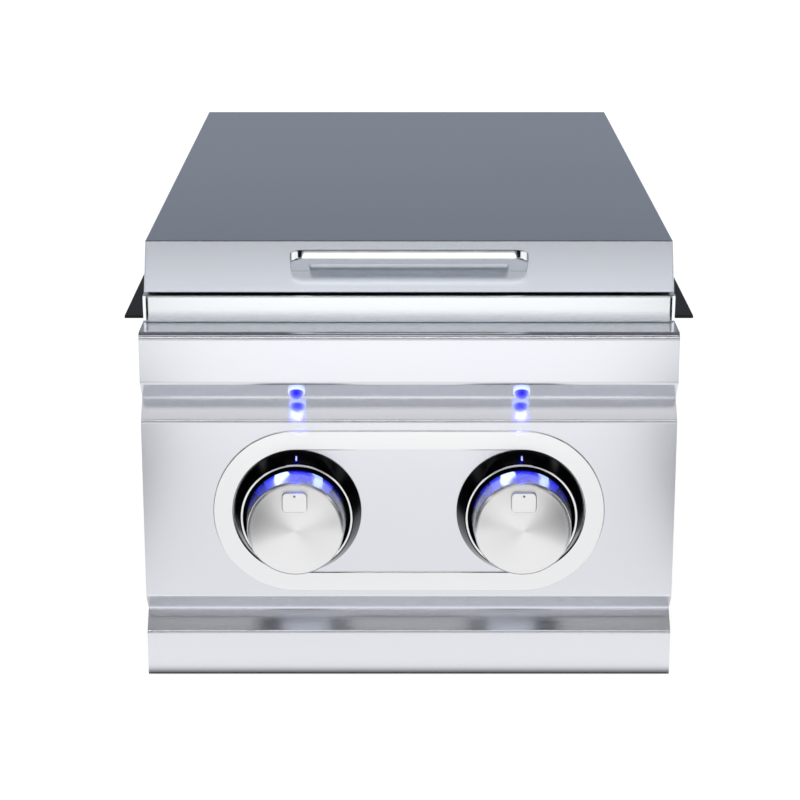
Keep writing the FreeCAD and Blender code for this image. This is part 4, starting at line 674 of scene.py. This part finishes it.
class PANEL_OT_sheet(bpy.types.Operator):
    """Model the folded control panel with its two grooves and pressed track"""

    bl_idname = "burner.panel_sheet"
    bl_label = "Control Panel"

    def execute(self, context):
        size = context.scene.burner_panel
        face, floor, top = PANEL_FACE, PANEL_LOW.z, PANEL_HIGH.z
        bottom = face + size.groove_depth
        low_bend = floor + size.band + size.groove / 2
        high_bend = top - size.nose - size.groove / 2
        half = size.groove / 2
        left = PANEL_LOW.x
        corners = [
            (face + size.foot, floor), (face, floor), (face, low_bend - half), (bottom, low_bend),
            (face, low_bend + half), (face, high_bend - half), (bottom, high_bend),
            (face, high_bend + half), (face, top), (PANEL_HIGH.y, top),
        ]
        points = [(left, y, z) for y, z in corners]
        sheet = drawn("panel_sheet", points)
        nose = points[-2]
        round_corner(sheet, points[1], size.foot_bend, 6)
        for corner in points[2:-2]:
            round_corner(sheet, corner, size.bend, 4)
        round_corner(sheet, nose, size.nose_radius, 8)
        pick(sheet, "VERT", lambda co: True)
        bpy.ops.mesh.extrude_edges_move(
            TRANSFORM_OT_translate={"value": (PANEL_HIGH.x - PANEL_LOW.x, 0, 0)})
        done()
        outward(sheet)
        middle = min(sheet.data.polygons, key=lambda f: abs(f.center.z - KNOB_CENTRE.z) + abs(f.normal.z))
        if middle.normal.y > 0:
            pick(sheet, "FACE", lambda centre, normal: True)
            bpy.ops.mesh.flip_normals()
            done()
        modify(sheet, "SOLIDIFY", thickness=size.gauge, offset=-1)
        combine(sheet, [self.track(size)])
        holes = []
        for side in SIDES:
            x = middle_x("bezel_" + side)
            holes.append(rod("stem_hole", STEM_HOLE, (x, face - RUN_PAST, KNOB_CENTRE.z),
                             (x, face + 6 * MM, KNOB_CENTRE.z)))
            low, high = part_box("lamp_holder_" + side)
            centre = (low + high) / 2
            holes.append(rod("lamp_hole", LAMP_HOLE, centre - LAMP_AXIS * LAMP_CUT,
                             centre + LAMP_AXIS * LAMP_CUT, 32))
        combine(sheet, holes, "DIFFERENCE")
        smooth(sheet, 25)
        seat(sheet, "root", "panel_steel", finish("panel"), "control_panel")
        # The track's faces get the lighter finish, a painted highlight on the panel's own sheet.
        second_finish(sheet, finish("track"), lambda centre, normal: centre.y < face - size.track_rise / 4)
        return {"FINISHED"}

    def track(self, size):
        """The raised track: an obround band pressed forward, with soft edges."""
        back, front = PANEL_FACE + size.gauge * 0.7, PANEL_FACE - size.track_rise
        radius = size.track_height / 2
        straight = size.track_length / 2 - radius
        track = self.obround("track", radius, straight, back, front)
        inside = self.obround("inside", radius - size.track_band, straight, back + 2 * MM, front - 2 * MM)
        combine(track, [inside], "DIFFERENCE")
        soften(track, size.track_slope, 4, 60)
        return track

    def obround(self, name, radius, straight, back, front):
        """A solid with two round ends and straight sides, from back to front through the knobs' height."""
        solid = rod(name, radius, (0, back, KNOB_CENTRE.z), (0, front, KNOB_CENTRE.z), 96)
        for way in (-1, 1):
            push(solid, lambda co: co.x * way > TOUCH, (way * straight, 0, 0))
        return solid


class RIM_OT_frame(bpy.types.Operator):
    """Model the pressed rim with its rounded corners and the skirt of its opening"""

    bl_idname = "burner.rim_frame"
    bl_label = "Rim"

    def execute(self, context):
        size = context.scene.burner_rim
        low, high = RIM_LOW, RIM_HIGH
        rim = rounded_block("rim_frame", low, high, size.corner, size.edge, size.foot)
        gauge = Vector((PANEL_GAUGE, PANEL_GAUGE, PANEL_GAUGE))
        cavity = rounded_block("cavity", low + gauge, high - gauge, size.corner - PANEL_GAUGE,
                               size.edge - PANEL_GAUGE, size.foot - PANEL_GAUGE)
        mouth = block("mouth", low + Vector((size.hem, size.hem, -RUN_PAST)),
                      (high.x - size.hem, high.y - size.hem, low.z + 2 * PANEL_GAUGE))
        combine(rim, [cavity, mouth], "DIFFERENCE")
        opening_low = Vector((low.x + size.land, low.y + size.land, high.z - size.skirt))
        opening_high = Vector((high.x - size.land, high.y - size.back_land, high.z))
        skirt = rounded_block("skirt", opening_low - Vector((PANEL_GAUGE, PANEL_GAUGE, 0)),
                              opening_high + Vector((PANEL_GAUGE, PANEL_GAUGE, -0.3 * MM)),
                              size.opening_corner + PANEL_GAUGE)
        combine(rim, [skirt])
        opening = rounded_block("opening", opening_low - Vector((0, 0, RUN_PAST)),
                                opening_high + Vector((0, 0, RUN_PAST)), size.opening_corner)
        combine(rim, [opening], "DIFFERENCE")
        outward(rim)
        reach = PANEL_GAUGE / 2

        def at_opening(co):
            return (opening_low.x - reach < co.x < opening_high.x + reach
                    and opening_low.y - reach < co.y < opening_high.y + reach and near(co.z, high.z))

        bevel(rim, lambda a, b: at_opening(a) and at_opening(b), PANEL_GAUGE * 0.9, 3)
        smooth(rim, 30)
        seat(rim, "root", "rim_steel", finish("rim"), "top_frame")
        return {"FINISHED"}


class LID_OT_sheet(bpy.types.Operator):
    """Model the folded lid: sloping front, rounded bends and a hem along its lower edge"""

    bl_idname = "burner.lid_sheet"
    bl_label = "Lid"

    def execute(self, context):
        size = context.scene.burner_lid
        low, high = LID_LOW, LID_HIGH
        gauge = Vector((size.gauge, size.gauge, size.gauge))
        lid = self.leaning("lid_sheet", low, high, size.slope, 0)
        self.bend(lid, size.radius, high.z)
        bevel(lid, lambda a, b: near(a.z, low.z) and near(b.z, low.z), size.radius * 0.5, 3)
        hollow = self.leaning("hollow", low + gauge, high - gauge, size.slope, size.gauge)
        self.bend(hollow, max(size.radius - size.gauge, 0.2 * MM), high.z - size.gauge)
        inset = Vector((size.hem, size.hem, -RUN_PAST))
        mouth = block("mouth", low + inset, (high.x - size.hem, high.y - size.hem, low.z + 2 * size.gauge))
        combine(lid, [hollow, mouth], "DIFFERENCE")
        outward(lid)
        smooth(lid, 30)
        seat(lid, "lid", "lid_steel", finish("lid"), "lid_shell")
        return {"FINISHED"}

    def leaning(self, name, low, high, slope, gauge):
        """A block whose front leans back, gauge inside the lid's own front."""
        piece = block(name, low, high)
        start = gauge / math.cos(slope) - gauge + gauge * math.tan(slope)
        lean = start + (high.z - low.z) * math.tan(slope)
        for height, shift in ((low.z, start), (high.z, lean)):
            push(piece, lambda co: near(co.z, height) and near(co.y, low.y), (0, shift, 0))
        return piece

    def bend(self, piece, radius, top):
        """Round the edges around the top and those that run down from it."""
        bevel(piece, lambda a, b: near(max(a.z, b.z), top), radius, 6)


class LID_OT_handle(bpy.types.Operator):
    """Model the chrome bridge handle and the screws behind it"""

    bl_idname = "burner.lid_handle"
    bl_label = "Lid Handle"

    def execute(self, context):
        size = context.scene.burner_lid
        half, bar, reach = size.handle_length / 2, size.handle_bar, size.handle_standoff
        under = -size.handle_thickness / 2
        outline = [(-half, 0), (-half, -reach), (half, -reach), (half, 0), (half - bar, 0),
                   (half - bar, bar - reach), (bar - half, bar - reach), (bar - half, 0)]
        points = [(x, y, under) for x, y in outline]
        handle = drawn("bridge_handle", points, closed=True)
        for corner in points[1:3]:
            round_corner(handle, corner, size.handle_radius, 10)
        for corner in points[5:7]:
            round_corner(handle, corner, HANDLE_INSIDE, 3)
        pick(handle, "FACE", lambda centre, normal: True)
        bpy.ops.mesh.extrude_region_move(
            TRANSFORM_OT_translate={"value": (0, 0, size.handle_thickness)})
        done()
        outward(handle)
        soften(handle, HANDLE_EDGE, 8, 50)
        smooth(handle, 40)
        along = (LID_HIGH.z - LID_LOW.z) / 2
        foot = Vector((0, LID_LOW.y + along * math.tan(size.slope), LID_LOW.z + along))
        placed(handle, Matrix.Translation(foot) @ Matrix.Rotation(-size.slope, 4, "X"))
        seat(handle, "lid", "handle_chrome", finish("chrome"), "lid_handle")
        seat(copied("handle_screws", "handle_screw_pair"), "lid", "screw_steel", finish("zinc"),
             "handle_screws")
        return {"FINISHED"}


class KNOB_OT_pair(bpy.types.Operator):
    """Model both knobs with their crowned faces, pointer pads and marks"""

    bl_idname = "burner.knobs"
    bl_label = "Knobs"

    def execute(self, context):
        size = context.scene.burner_knob
        left, right = (middle_x("bezel_" + side) for side in SIDES)
        pair = self.model(size, left, "left")
        shift = (right - left, 0, 0)
        twins = [twin(piece, piece.name.replace("left", "right"), shift) for piece in pair]
        for side, (knob, mark) in zip(SIDES, (pair, twins)):
            seat(knob, "knob_" + side, "knob_metal", finish("satin"), "knob_" + side)
            second_finish(knob, finish("turned"), lambda centre, normal: normal.y < -0.6
                          and normal.z > -0.45 and centre.y < KNOB_LOW.y + 3 * size.edge)
            seat(mark, "knob_" + side, "knob_metal", finish("ink"))
        return {"FINISHED"}

    def model(self, size, x, side):
        """A hollow knob with its pad, and the dot on the pad."""
        front, back = KNOB_LOW.y - PANEL_FACE, KNOB_HIGH.y - PANEL_FACE
        centre = (x, PANEL_FACE, KNOB_CENTRE.z)
        apex = front + size.pad_rise
        flat = size.radius - size.edge
        profile = [(flat * k / 12, apex + size.crown * (k / 12) ** 2) for k in range(13)]
        edge = apex + size.crown + size.edge
        for k in range(1, 6):
            turn = math.radians(90 * k / 6)
            profile.append((flat + size.edge * math.sin(turn), edge - size.edge * math.cos(turn)))
        inner = size.back_radius - size.wall
        profile += [(size.radius, edge), (size.back_radius, back), (inner, back),
                    (inner, edge + size.wall), (HUB, edge + size.wall), (HUB, back + 1 * MM),
                    (STEM_BORE, back + 1 * MM), (STEM_BORE, edge + 2 * size.wall),
                    (0, edge + 2 * size.wall)]
        knob = lathe(side + "_knob", profile, centre)
        half = size.pad_width / 2
        low = size.pad_offset - size.pad_height / 2
        pad = block("pad", (x - half, PANEL_FACE + front, KNOB_CENTRE.z + low),
                    (x + half, PANEL_FACE + apex + 3 * MM, KNOB_CENTRE.z + low + size.pad_height))
        bevel(pad, lambda a, b: abs(a.y - b.y) > MM, PAD_CORNER, 6)
        soften(pad, PAD_EDGE, 4, 50)
        combine(knob, [pad])
        smooth(knob, 40)
        dot_height = KNOB_CENTRE.z + low + size.pad_height - DOT_INSET
        mark = rod(side + "_knob_mark", size.dot, (x, PANEL_FACE + front, dot_height),
                   (x, PANEL_FACE + front + DOT_RISE, dot_height), 32)
        soften(mark, DOT_EDGE, 2)
        return knob, mark


class BEZEL_OT_pair(bpy.types.Operator):
    """Model both bezels: mirror cones painted near-black as a dark reflection, a bright ring on the lip as a
    painted highlight, and an index line
    """

    bl_idname = "burner.bezels"
    bl_label = "Bezels"

    def execute(self, context):
        size = context.scene.burner_knob
        outer = (BEZEL_HIGH.x - BEZEL_LOW.x) / 2
        lip = BEZEL_LOW.y - PANEL_FACE
        roll = (size.bezel_lip - size.bezel_bore) / 2
        for side in SIDES:
            x = middle_x("bezel_" + side)
            centre = (x, PANEL_FACE, KNOB_CENTRE.z)
            profile = [(BEZEL_HUB, 0), (outer, 0), (outer, -BEZEL_RIM),
                       (size.bezel_lip + 0.4 * MM, lip + roll)]
            for k in range(1, 9):
                turn = math.radians(180 * k / 9)
                profile.append((size.bezel_bore + roll + roll * math.cos(turn),
                                lip + roll - roll * math.sin(turn)))
            profile += [(size.bezel_bore, lip + roll), (size.bezel_bore + 2 * MM, -BEZEL_FLOOR),
                        (BEZEL_HUB, -BEZEL_FLOOR), (BEZEL_HUB, 0)]
            bezel = lathe(side + "_bezel", profile, centre)
            smooth(bezel, 30)
            # Near-black base on chrome: a painted dark reflection.
            seat(bezel, "root", "bezel_chrome", finish("painted_dark_chrome"), "bezel_" + side)
            # The bright ring on the lip, in the track's finish, is a painted highlight.
            middle = size.bezel_bore + roll
            inner, outside = middle - size.highlight_half_width, middle + size.highlight_half_width
            rounding = size.highlight_half_width / 4
            lip_highlight = lathe(side + "_bezel_bead", [
                (inner, lip + size.highlight_half_width), (inner, lip + rounding), (inner + rounding, lip),
                (outside - rounding, lip), (outside, lip + rounding), (outside, lip + size.highlight_half_width),
                (inner, lip + size.highlight_half_width)], centre)
            smooth(lip_highlight, 30)
            seat(lip_highlight, "root", "bezel_chrome", finish("track"))
            slant = math.atan2(outer - size.bezel_lip, -lip)
            line = block(side + "_index_line", (x + LINE_LOW[0], *LINE_LOW[1:]),
                         (x + LINE_HIGH[0], *LINE_HIGH[1:]))
            soften(line, 0.1 * MM, 2)
            middle = Vector((0, PANEL_FACE + lip / 2, KNOB_CENTRE.z + (outer + size.bezel_lip) / 2))
            placed(line, Matrix.Translation(middle) @ Matrix.Rotation(math.radians(90) + slant, 4, "X"))
            seat(line, "root", "bezel_chrome", finish("pale_ink"))
        return {"FINISHED"}


class LAMP_OT_pair(bpy.types.Operator):
    """Model the lamps under the nose: a lit clear ring around a lit blue lens"""

    bl_idname = "burner.lamps"
    bl_label = "Lamps"

    def execute(self, context):
        size = context.scene.burner_knob
        for side in SIDES:
            centre = lamp_place(context, side)
            lens_radius = size.lamp - size.lamp_ring
            ring = [(lens_radius, LENS_FLOOR), (lens_radius, -1.6 * MM),
                    (lens_radius + 0.2 * MM, -LAMP_FRONT), (size.lamp - 0.2 * MM, -LAMP_FRONT),
                    (size.lamp, -1.2 * MM), (size.lamp, 0), (LAMP_BARREL, 0), (LAMP_BARREL, LAMP_DEPTH),
                    (WIRE_HOLE, LAMP_DEPTH), (WIRE_HOLE, LENS_FLOOR), (lens_radius, LENS_FLOOR)]
            holder = lathe(side + "_lamp_ring", ring, centre, LAMP_AXIS, 64)
            smooth(holder, 30)
            seat(holder, "root", "lamp_chrome", finish("lamp_ring"), "lamp_holder_" + side)
            dome = [(0, LENS_FLOOR), (lens_radius, LENS_FLOOR)]
            for k in range(7):
                turn = math.radians(90 * k / 6)
                dome.append((lens_radius * math.cos(turn), -1.4 * MM - lens_radius * math.sin(turn)))
            lens = lathe(side + "_lamp_dome", dome, centre, LAMP_AXIS, 48)
            smooth(lens, 50)
            seat(lens, "root", "lamp_blue", finish("lamp"), "lamp_lens_" + side)
        return {"FINISHED"}


def lamp_place(context, side):
    """The middle of a lamp's seat on the upper slope of the upper groove."""
    size = context.scene.burner_panel
    height = PANEL_HIGH.z - size.nose - size.groove / 4
    return Vector((middle_x("lamp_holder_" + side), PANEL_FACE + size.groove_depth / 2, height))


class RAIL_OT_pair(bpy.types.Operator):
    """Finish the hanger rails, the panel's end plates and the screws outside the box"""

    bl_idname = "burner.rails"
    bl_label = "Hanger Rails"

    def execute(self, context):
        for side in SIDES:
            seat(copied("hanger_rail_" + side, side + "_rail", 0.4 * MM), "root", "rail_steel",
                 finish("rail"), "hanger_rail_" + side)
            seat(copied("panel_end_" + side, side + "_panel_end"), "root", "panel_steel",
                 finish("panel"), "panel_end_" + side)
        seat(copied("machine_screws", "small_screws", 0.3 * MM), "root", "screw_steel", finish("zinc"),
             "machine_screws")
        return {"FINISHED"}


class INNER_OT_pieces(bpy.types.Operator):
    """Finish the grates, burners, tray, box, gas train and hinges"""

    bl_idname = "burner.inner"
    bl_label = "Inner Pieces"

    def execute(self, context):
        for stem, ends, group, slot_name, look, width in INNER:
            for end in ends:
                node = stem + end
                body = group if group in SINGLE_BODIES else group + end
                piece = copied(node, node.replace("_", "-"), width * MM)
                seat(piece, body, slot_name, finish(look), node)
                if stem == "stem_spring":
                    self.shorten(piece, node, "push" + end)
        return {"FINISHED"}

    def shorten(self, spring, node, joint):
        """Give a spring a mesh of its own."""
        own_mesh(spring)


class STAGE_OT_studio(bpy.types.Operator):
    """Set the pale floor, the soft lights, the dark flags and the camera"""

    bl_idname = "burner.studio"
    bl_label = "Studio"

    def execute(self, context):
        scene = context.scene
        size = scene.burner_studio
        scene.view_settings.view_transform = "Standard"
        camera_data = bpy.data.cameras.new("Camera")
        camera_data.lens = size.lens
        camera = bpy.data.objects.new("Camera", camera_data)
        scene.collection.objects.link(camera)
        camera.location = (size.side, PANEL_FACE - size.distance, size.height)
        camera.rotation_euler = (math.radians(90) - size.pitch, 0, 0)
        scene.camera = camera
        self.world(scene, size.fill)
        self.floor()
        self.light("key", "AREA", size.key, (-0.9, -1.5, 1.7), (0, -0.1, 0.15), 1.2)
        self.light("side", "AREA", size.key * 0.35, (1.4, -0.6, 1.0), (0, 0, 0.15), 1.0)
        for side in SIDES:
            self.lamp_glow(context, side)
        for name, y, z, half, hex_colour, strength in CARDS:
            self.flag(name, (-half, half), y, z, hex_colour, strength)
        for name, x, y, z, hex_colour in SIDE_CARDS:
            self.flag("left_" + name, (-x[1], -x[0]), y, z, hex_colour)
            self.flag("right_" + name, x, y, z, hex_colour)
        return {"FINISHED"}

    def lamp_glow(self, context, side):
        """What a lamp throws on its knob, and the streak on the sheet below it."""
        knob = context.scene.burner_knob
        colour = context.scene.burner_finish.glow[:3]
        place = lamp_place(context, side)
        lens = place - LAMP_AXIS * 6 * MM
        knob_top = (place.x, PANEL_FACE - KNOB_SHINE, KNOB_CENTRE.z + knob.radius)
        slope = (place.x, PANEL_FACE + 4 * MM, place.z - 20 * MM)
        for name, power, target, cone in (("spot", 0.25, knob_top, 75), ("streak", 0.5, slope, 50)):
            glow = self.light(side + "_" + name, "SPOT", power, lens, target, 1.5 * MM)
            glow.data.spot_size = math.radians(cone)
            glow.data.spot_blend = 0.5
            glow.data.color = colour
        lip = Vector((place.x, BEZEL_LOW.y - GLOW_AIR, KNOB_CENTRE.z))
        for turn, power, hex_colour in KNOB_GLOW:
            out = Vector((math.sin(math.radians(turn)), 0, math.cos(math.radians(turn))))
            centre = lip + out * (knob.bezel_lip - GLOW_INSET)
            glow = self.light(f"{side}_glow_{turn + 90}", "AREA", power, centre,
                              centre - Vector((0, MM, 0)), GLOW_WIDTH)
            glow.rotation_euler.rotate_axis("Z", -math.radians(turn))
            glow.data.shape = "RECTANGLE"
            glow.data.size_y = GLOW_DEPTH
            glow.data.color = linear(hex_colour)[:3]
            glow.visible_glossy = True
            glow.visible_camera = False

    def world(self, scene, fill):
        """A white sky that lights with strength fill, and is plain white where it is seen."""
        world = bpy.data.worlds.new("World")
        scene.world = world
        world.use_nodes = True
        tree = world.node_tree
        tree.nodes.clear()
        path = add(tree, "ShaderNodeLightPath").outputs
        first = reckoned(tree, "MAXIMUM", path["Is Camera Ray"], path["Is Glossy Ray"])
        seen = reckoned(tree, "MAXIMUM", first, path["Is Transmission Ray"])
        strength = ranged(tree, seen, fill, 1.0)
        sky = add(tree, "ShaderNodeBackground", {"Color": (1, 1, 1, 1)}, {"Strength": strength})
        add(tree, "ShaderNodeOutputWorld", links={"Surface": sky.outputs[0]})

    def floor(self):
        """A pale floor: white to the camera but for the shadow, and in mirrors greyer near the object, a
        painted shade.
        """
        bpy.ops.object.select_all(action="DESELECT")
        bpy.ops.mesh.primitive_plane_add(size=16, location=(0, 0, -0.2 * MM))
        floor = bpy.context.object
        floor.name = "floor"
        material, tree, shader, output, place = new_finish("Pale matt floor")
        shader.inputs["Base Color"].default_value = linear("#F2F2F2")
        shader.inputs["Roughness"].default_value = 0.9
        path = add(tree, "ShaderNodeLightPath").outputs
        axes = add(tree, "ShaderNodeSeparateXYZ", links={"Vector": place}).outputs
        aside = reckoned(tree, "ABSOLUTE", axes["X"])
        wider = reckoned(tree, "ADD", aside, FLOOR_MIRROR_SHADE[0][0] - RIM_HIGH.x)
        reach = reckoned(tree, "MAXIMUM", wider, reckoned(tree, "ABSOLUTE", axes["Y"]))
        # Painted shade: the floor's tone for mirrors, darker near the object.
        tone = add(tree, "ShaderNodeValToRGB", links={"Fac": reach})
        ramp = tone.color_ramp.elements
        for stop, (position, level) in zip(ramp, (FLOOR_MIRROR_SHADE[0], FLOOR_MIRROR_SHADE[-1])):
            stop.position, stop.color = position, (level, level, level, 1)
        for position, level in FLOOR_MIRROR_SHADE[1:-1]:
            ramp.new(position).color = (level, level, level, 1)
        # White to the camera, the painted shade to polished metal.
        lit = add(tree, "ShaderNodeMix", {"data_type": "RGBA", 6: (1, 1, 1, 1)},
                  {0: path["Is Glossy Ray"], 7: tone.outputs[0]}).outputs[2]
        white = add(tree, "ShaderNodeEmission", {"Strength": 1.2}, {"Color": lit})
        glossy = reckoned(tree, "MULTIPLY", path["Is Glossy Ray"], 0.95)
        share = add(tree, "ShaderNodeMix", {"data_type": "FLOAT", 3: 0.72},
                    {0: path["Is Camera Ray"], 2: glossy}).outputs[0]
        mix = add(tree, "ShaderNodeMixShader",
                  links={0: share, 1: shader.outputs[0], 2: white.outputs[0]})
        tree.links.new(mix.outputs[0], output.inputs["Surface"])
        floor.data.materials.append(material)

    def light(self, name, kind, power, place, target, size):
        data = bpy.data.lights.new(name, kind)
        data.energy = power
        if kind == "AREA":
            data.size = size
        else:
            data.shadow_soft_size = size
        light = bpy.data.objects.new(name, data)
        bpy.context.scene.collection.objects.link(light)
        light.location = place
        aim = Vector(target) - Vector(place)
        light.rotation_euler = aim.to_track_quat("-Z", "Y").to_euler()
        light.visible_glossy = kind != "AREA"
        return light

    def flag(self, name, x, y, z, hex_colour, strength=1.0):
        """A studio card that only polished metal sees, between two bounds on each axis."""
        flag = block(name, (x[0], y[0], z[0]), (x[1], y[1], z[1]))
        material, tree, _, output, _ = new_finish(name.replace("_", " ").capitalize())
        card = add(tree, "ShaderNodeEmission", {"Color": linear(hex_colour), "Strength": strength})
        tree.links.new(card.outputs[0], output.inputs["Surface"])
        flag.data.materials.append(material)
        for ray in ("camera", "diffuse", "shadow", "transmission"):
            setattr(flag, "visible_" + ray, False)


OPERATORS = (
    PANEL_OT_sheet, RIM_OT_frame, LID_OT_sheet, LID_OT_handle, KNOB_OT_pair, BEZEL_OT_pair,
    LAMP_OT_pair, RAIL_OT_pair, INNER_OT_pieces, STAGE_OT_studio,
)


class BURNER_PT_pieces(bpy.types.Panel):
    """Lists the pieces of the side burner"""

    bl_idname = "BURNER_PT_pieces"
    bl_label = "Side Burner"
    bl_space_type = "VIEW_3D"
    bl_region_type = "UI"
    bl_category = "Side Burner"

    def draw(self, context):
        for operator in OPERATORS:
            self.layout.operator(operator.bl_idname)
        for group, name in GROUPS:
            values = getattr(context.scene, name)
            for prop in group.__annotations__:
                self.layout.prop(values, prop)


def register():
    for group, name in GROUPS:
        bpy.utils.register_class(group)
        setattr(bpy.types.Scene, name, PointerProperty(type=group))
    for cls in OPERATORS + (BURNER_PT_pieces,):
        bpy.utils.register_class(cls)


def unregister():
    for cls in reversed(OPERATORS + (BURNER_PT_pieces,)):
        bpy.utils.unregister_class(cls)
    for group, name in reversed(GROUPS):
        delattr(bpy.types.Scene, name)
        bpy.utils.unregister_class(group)


def main():
    register()
    for operator in OPERATORS:
        space, action = operator.bl_idname.split(".")
        getattr(getattr(bpy.ops, space), action)()


if __name__ == "__main__":
    main()
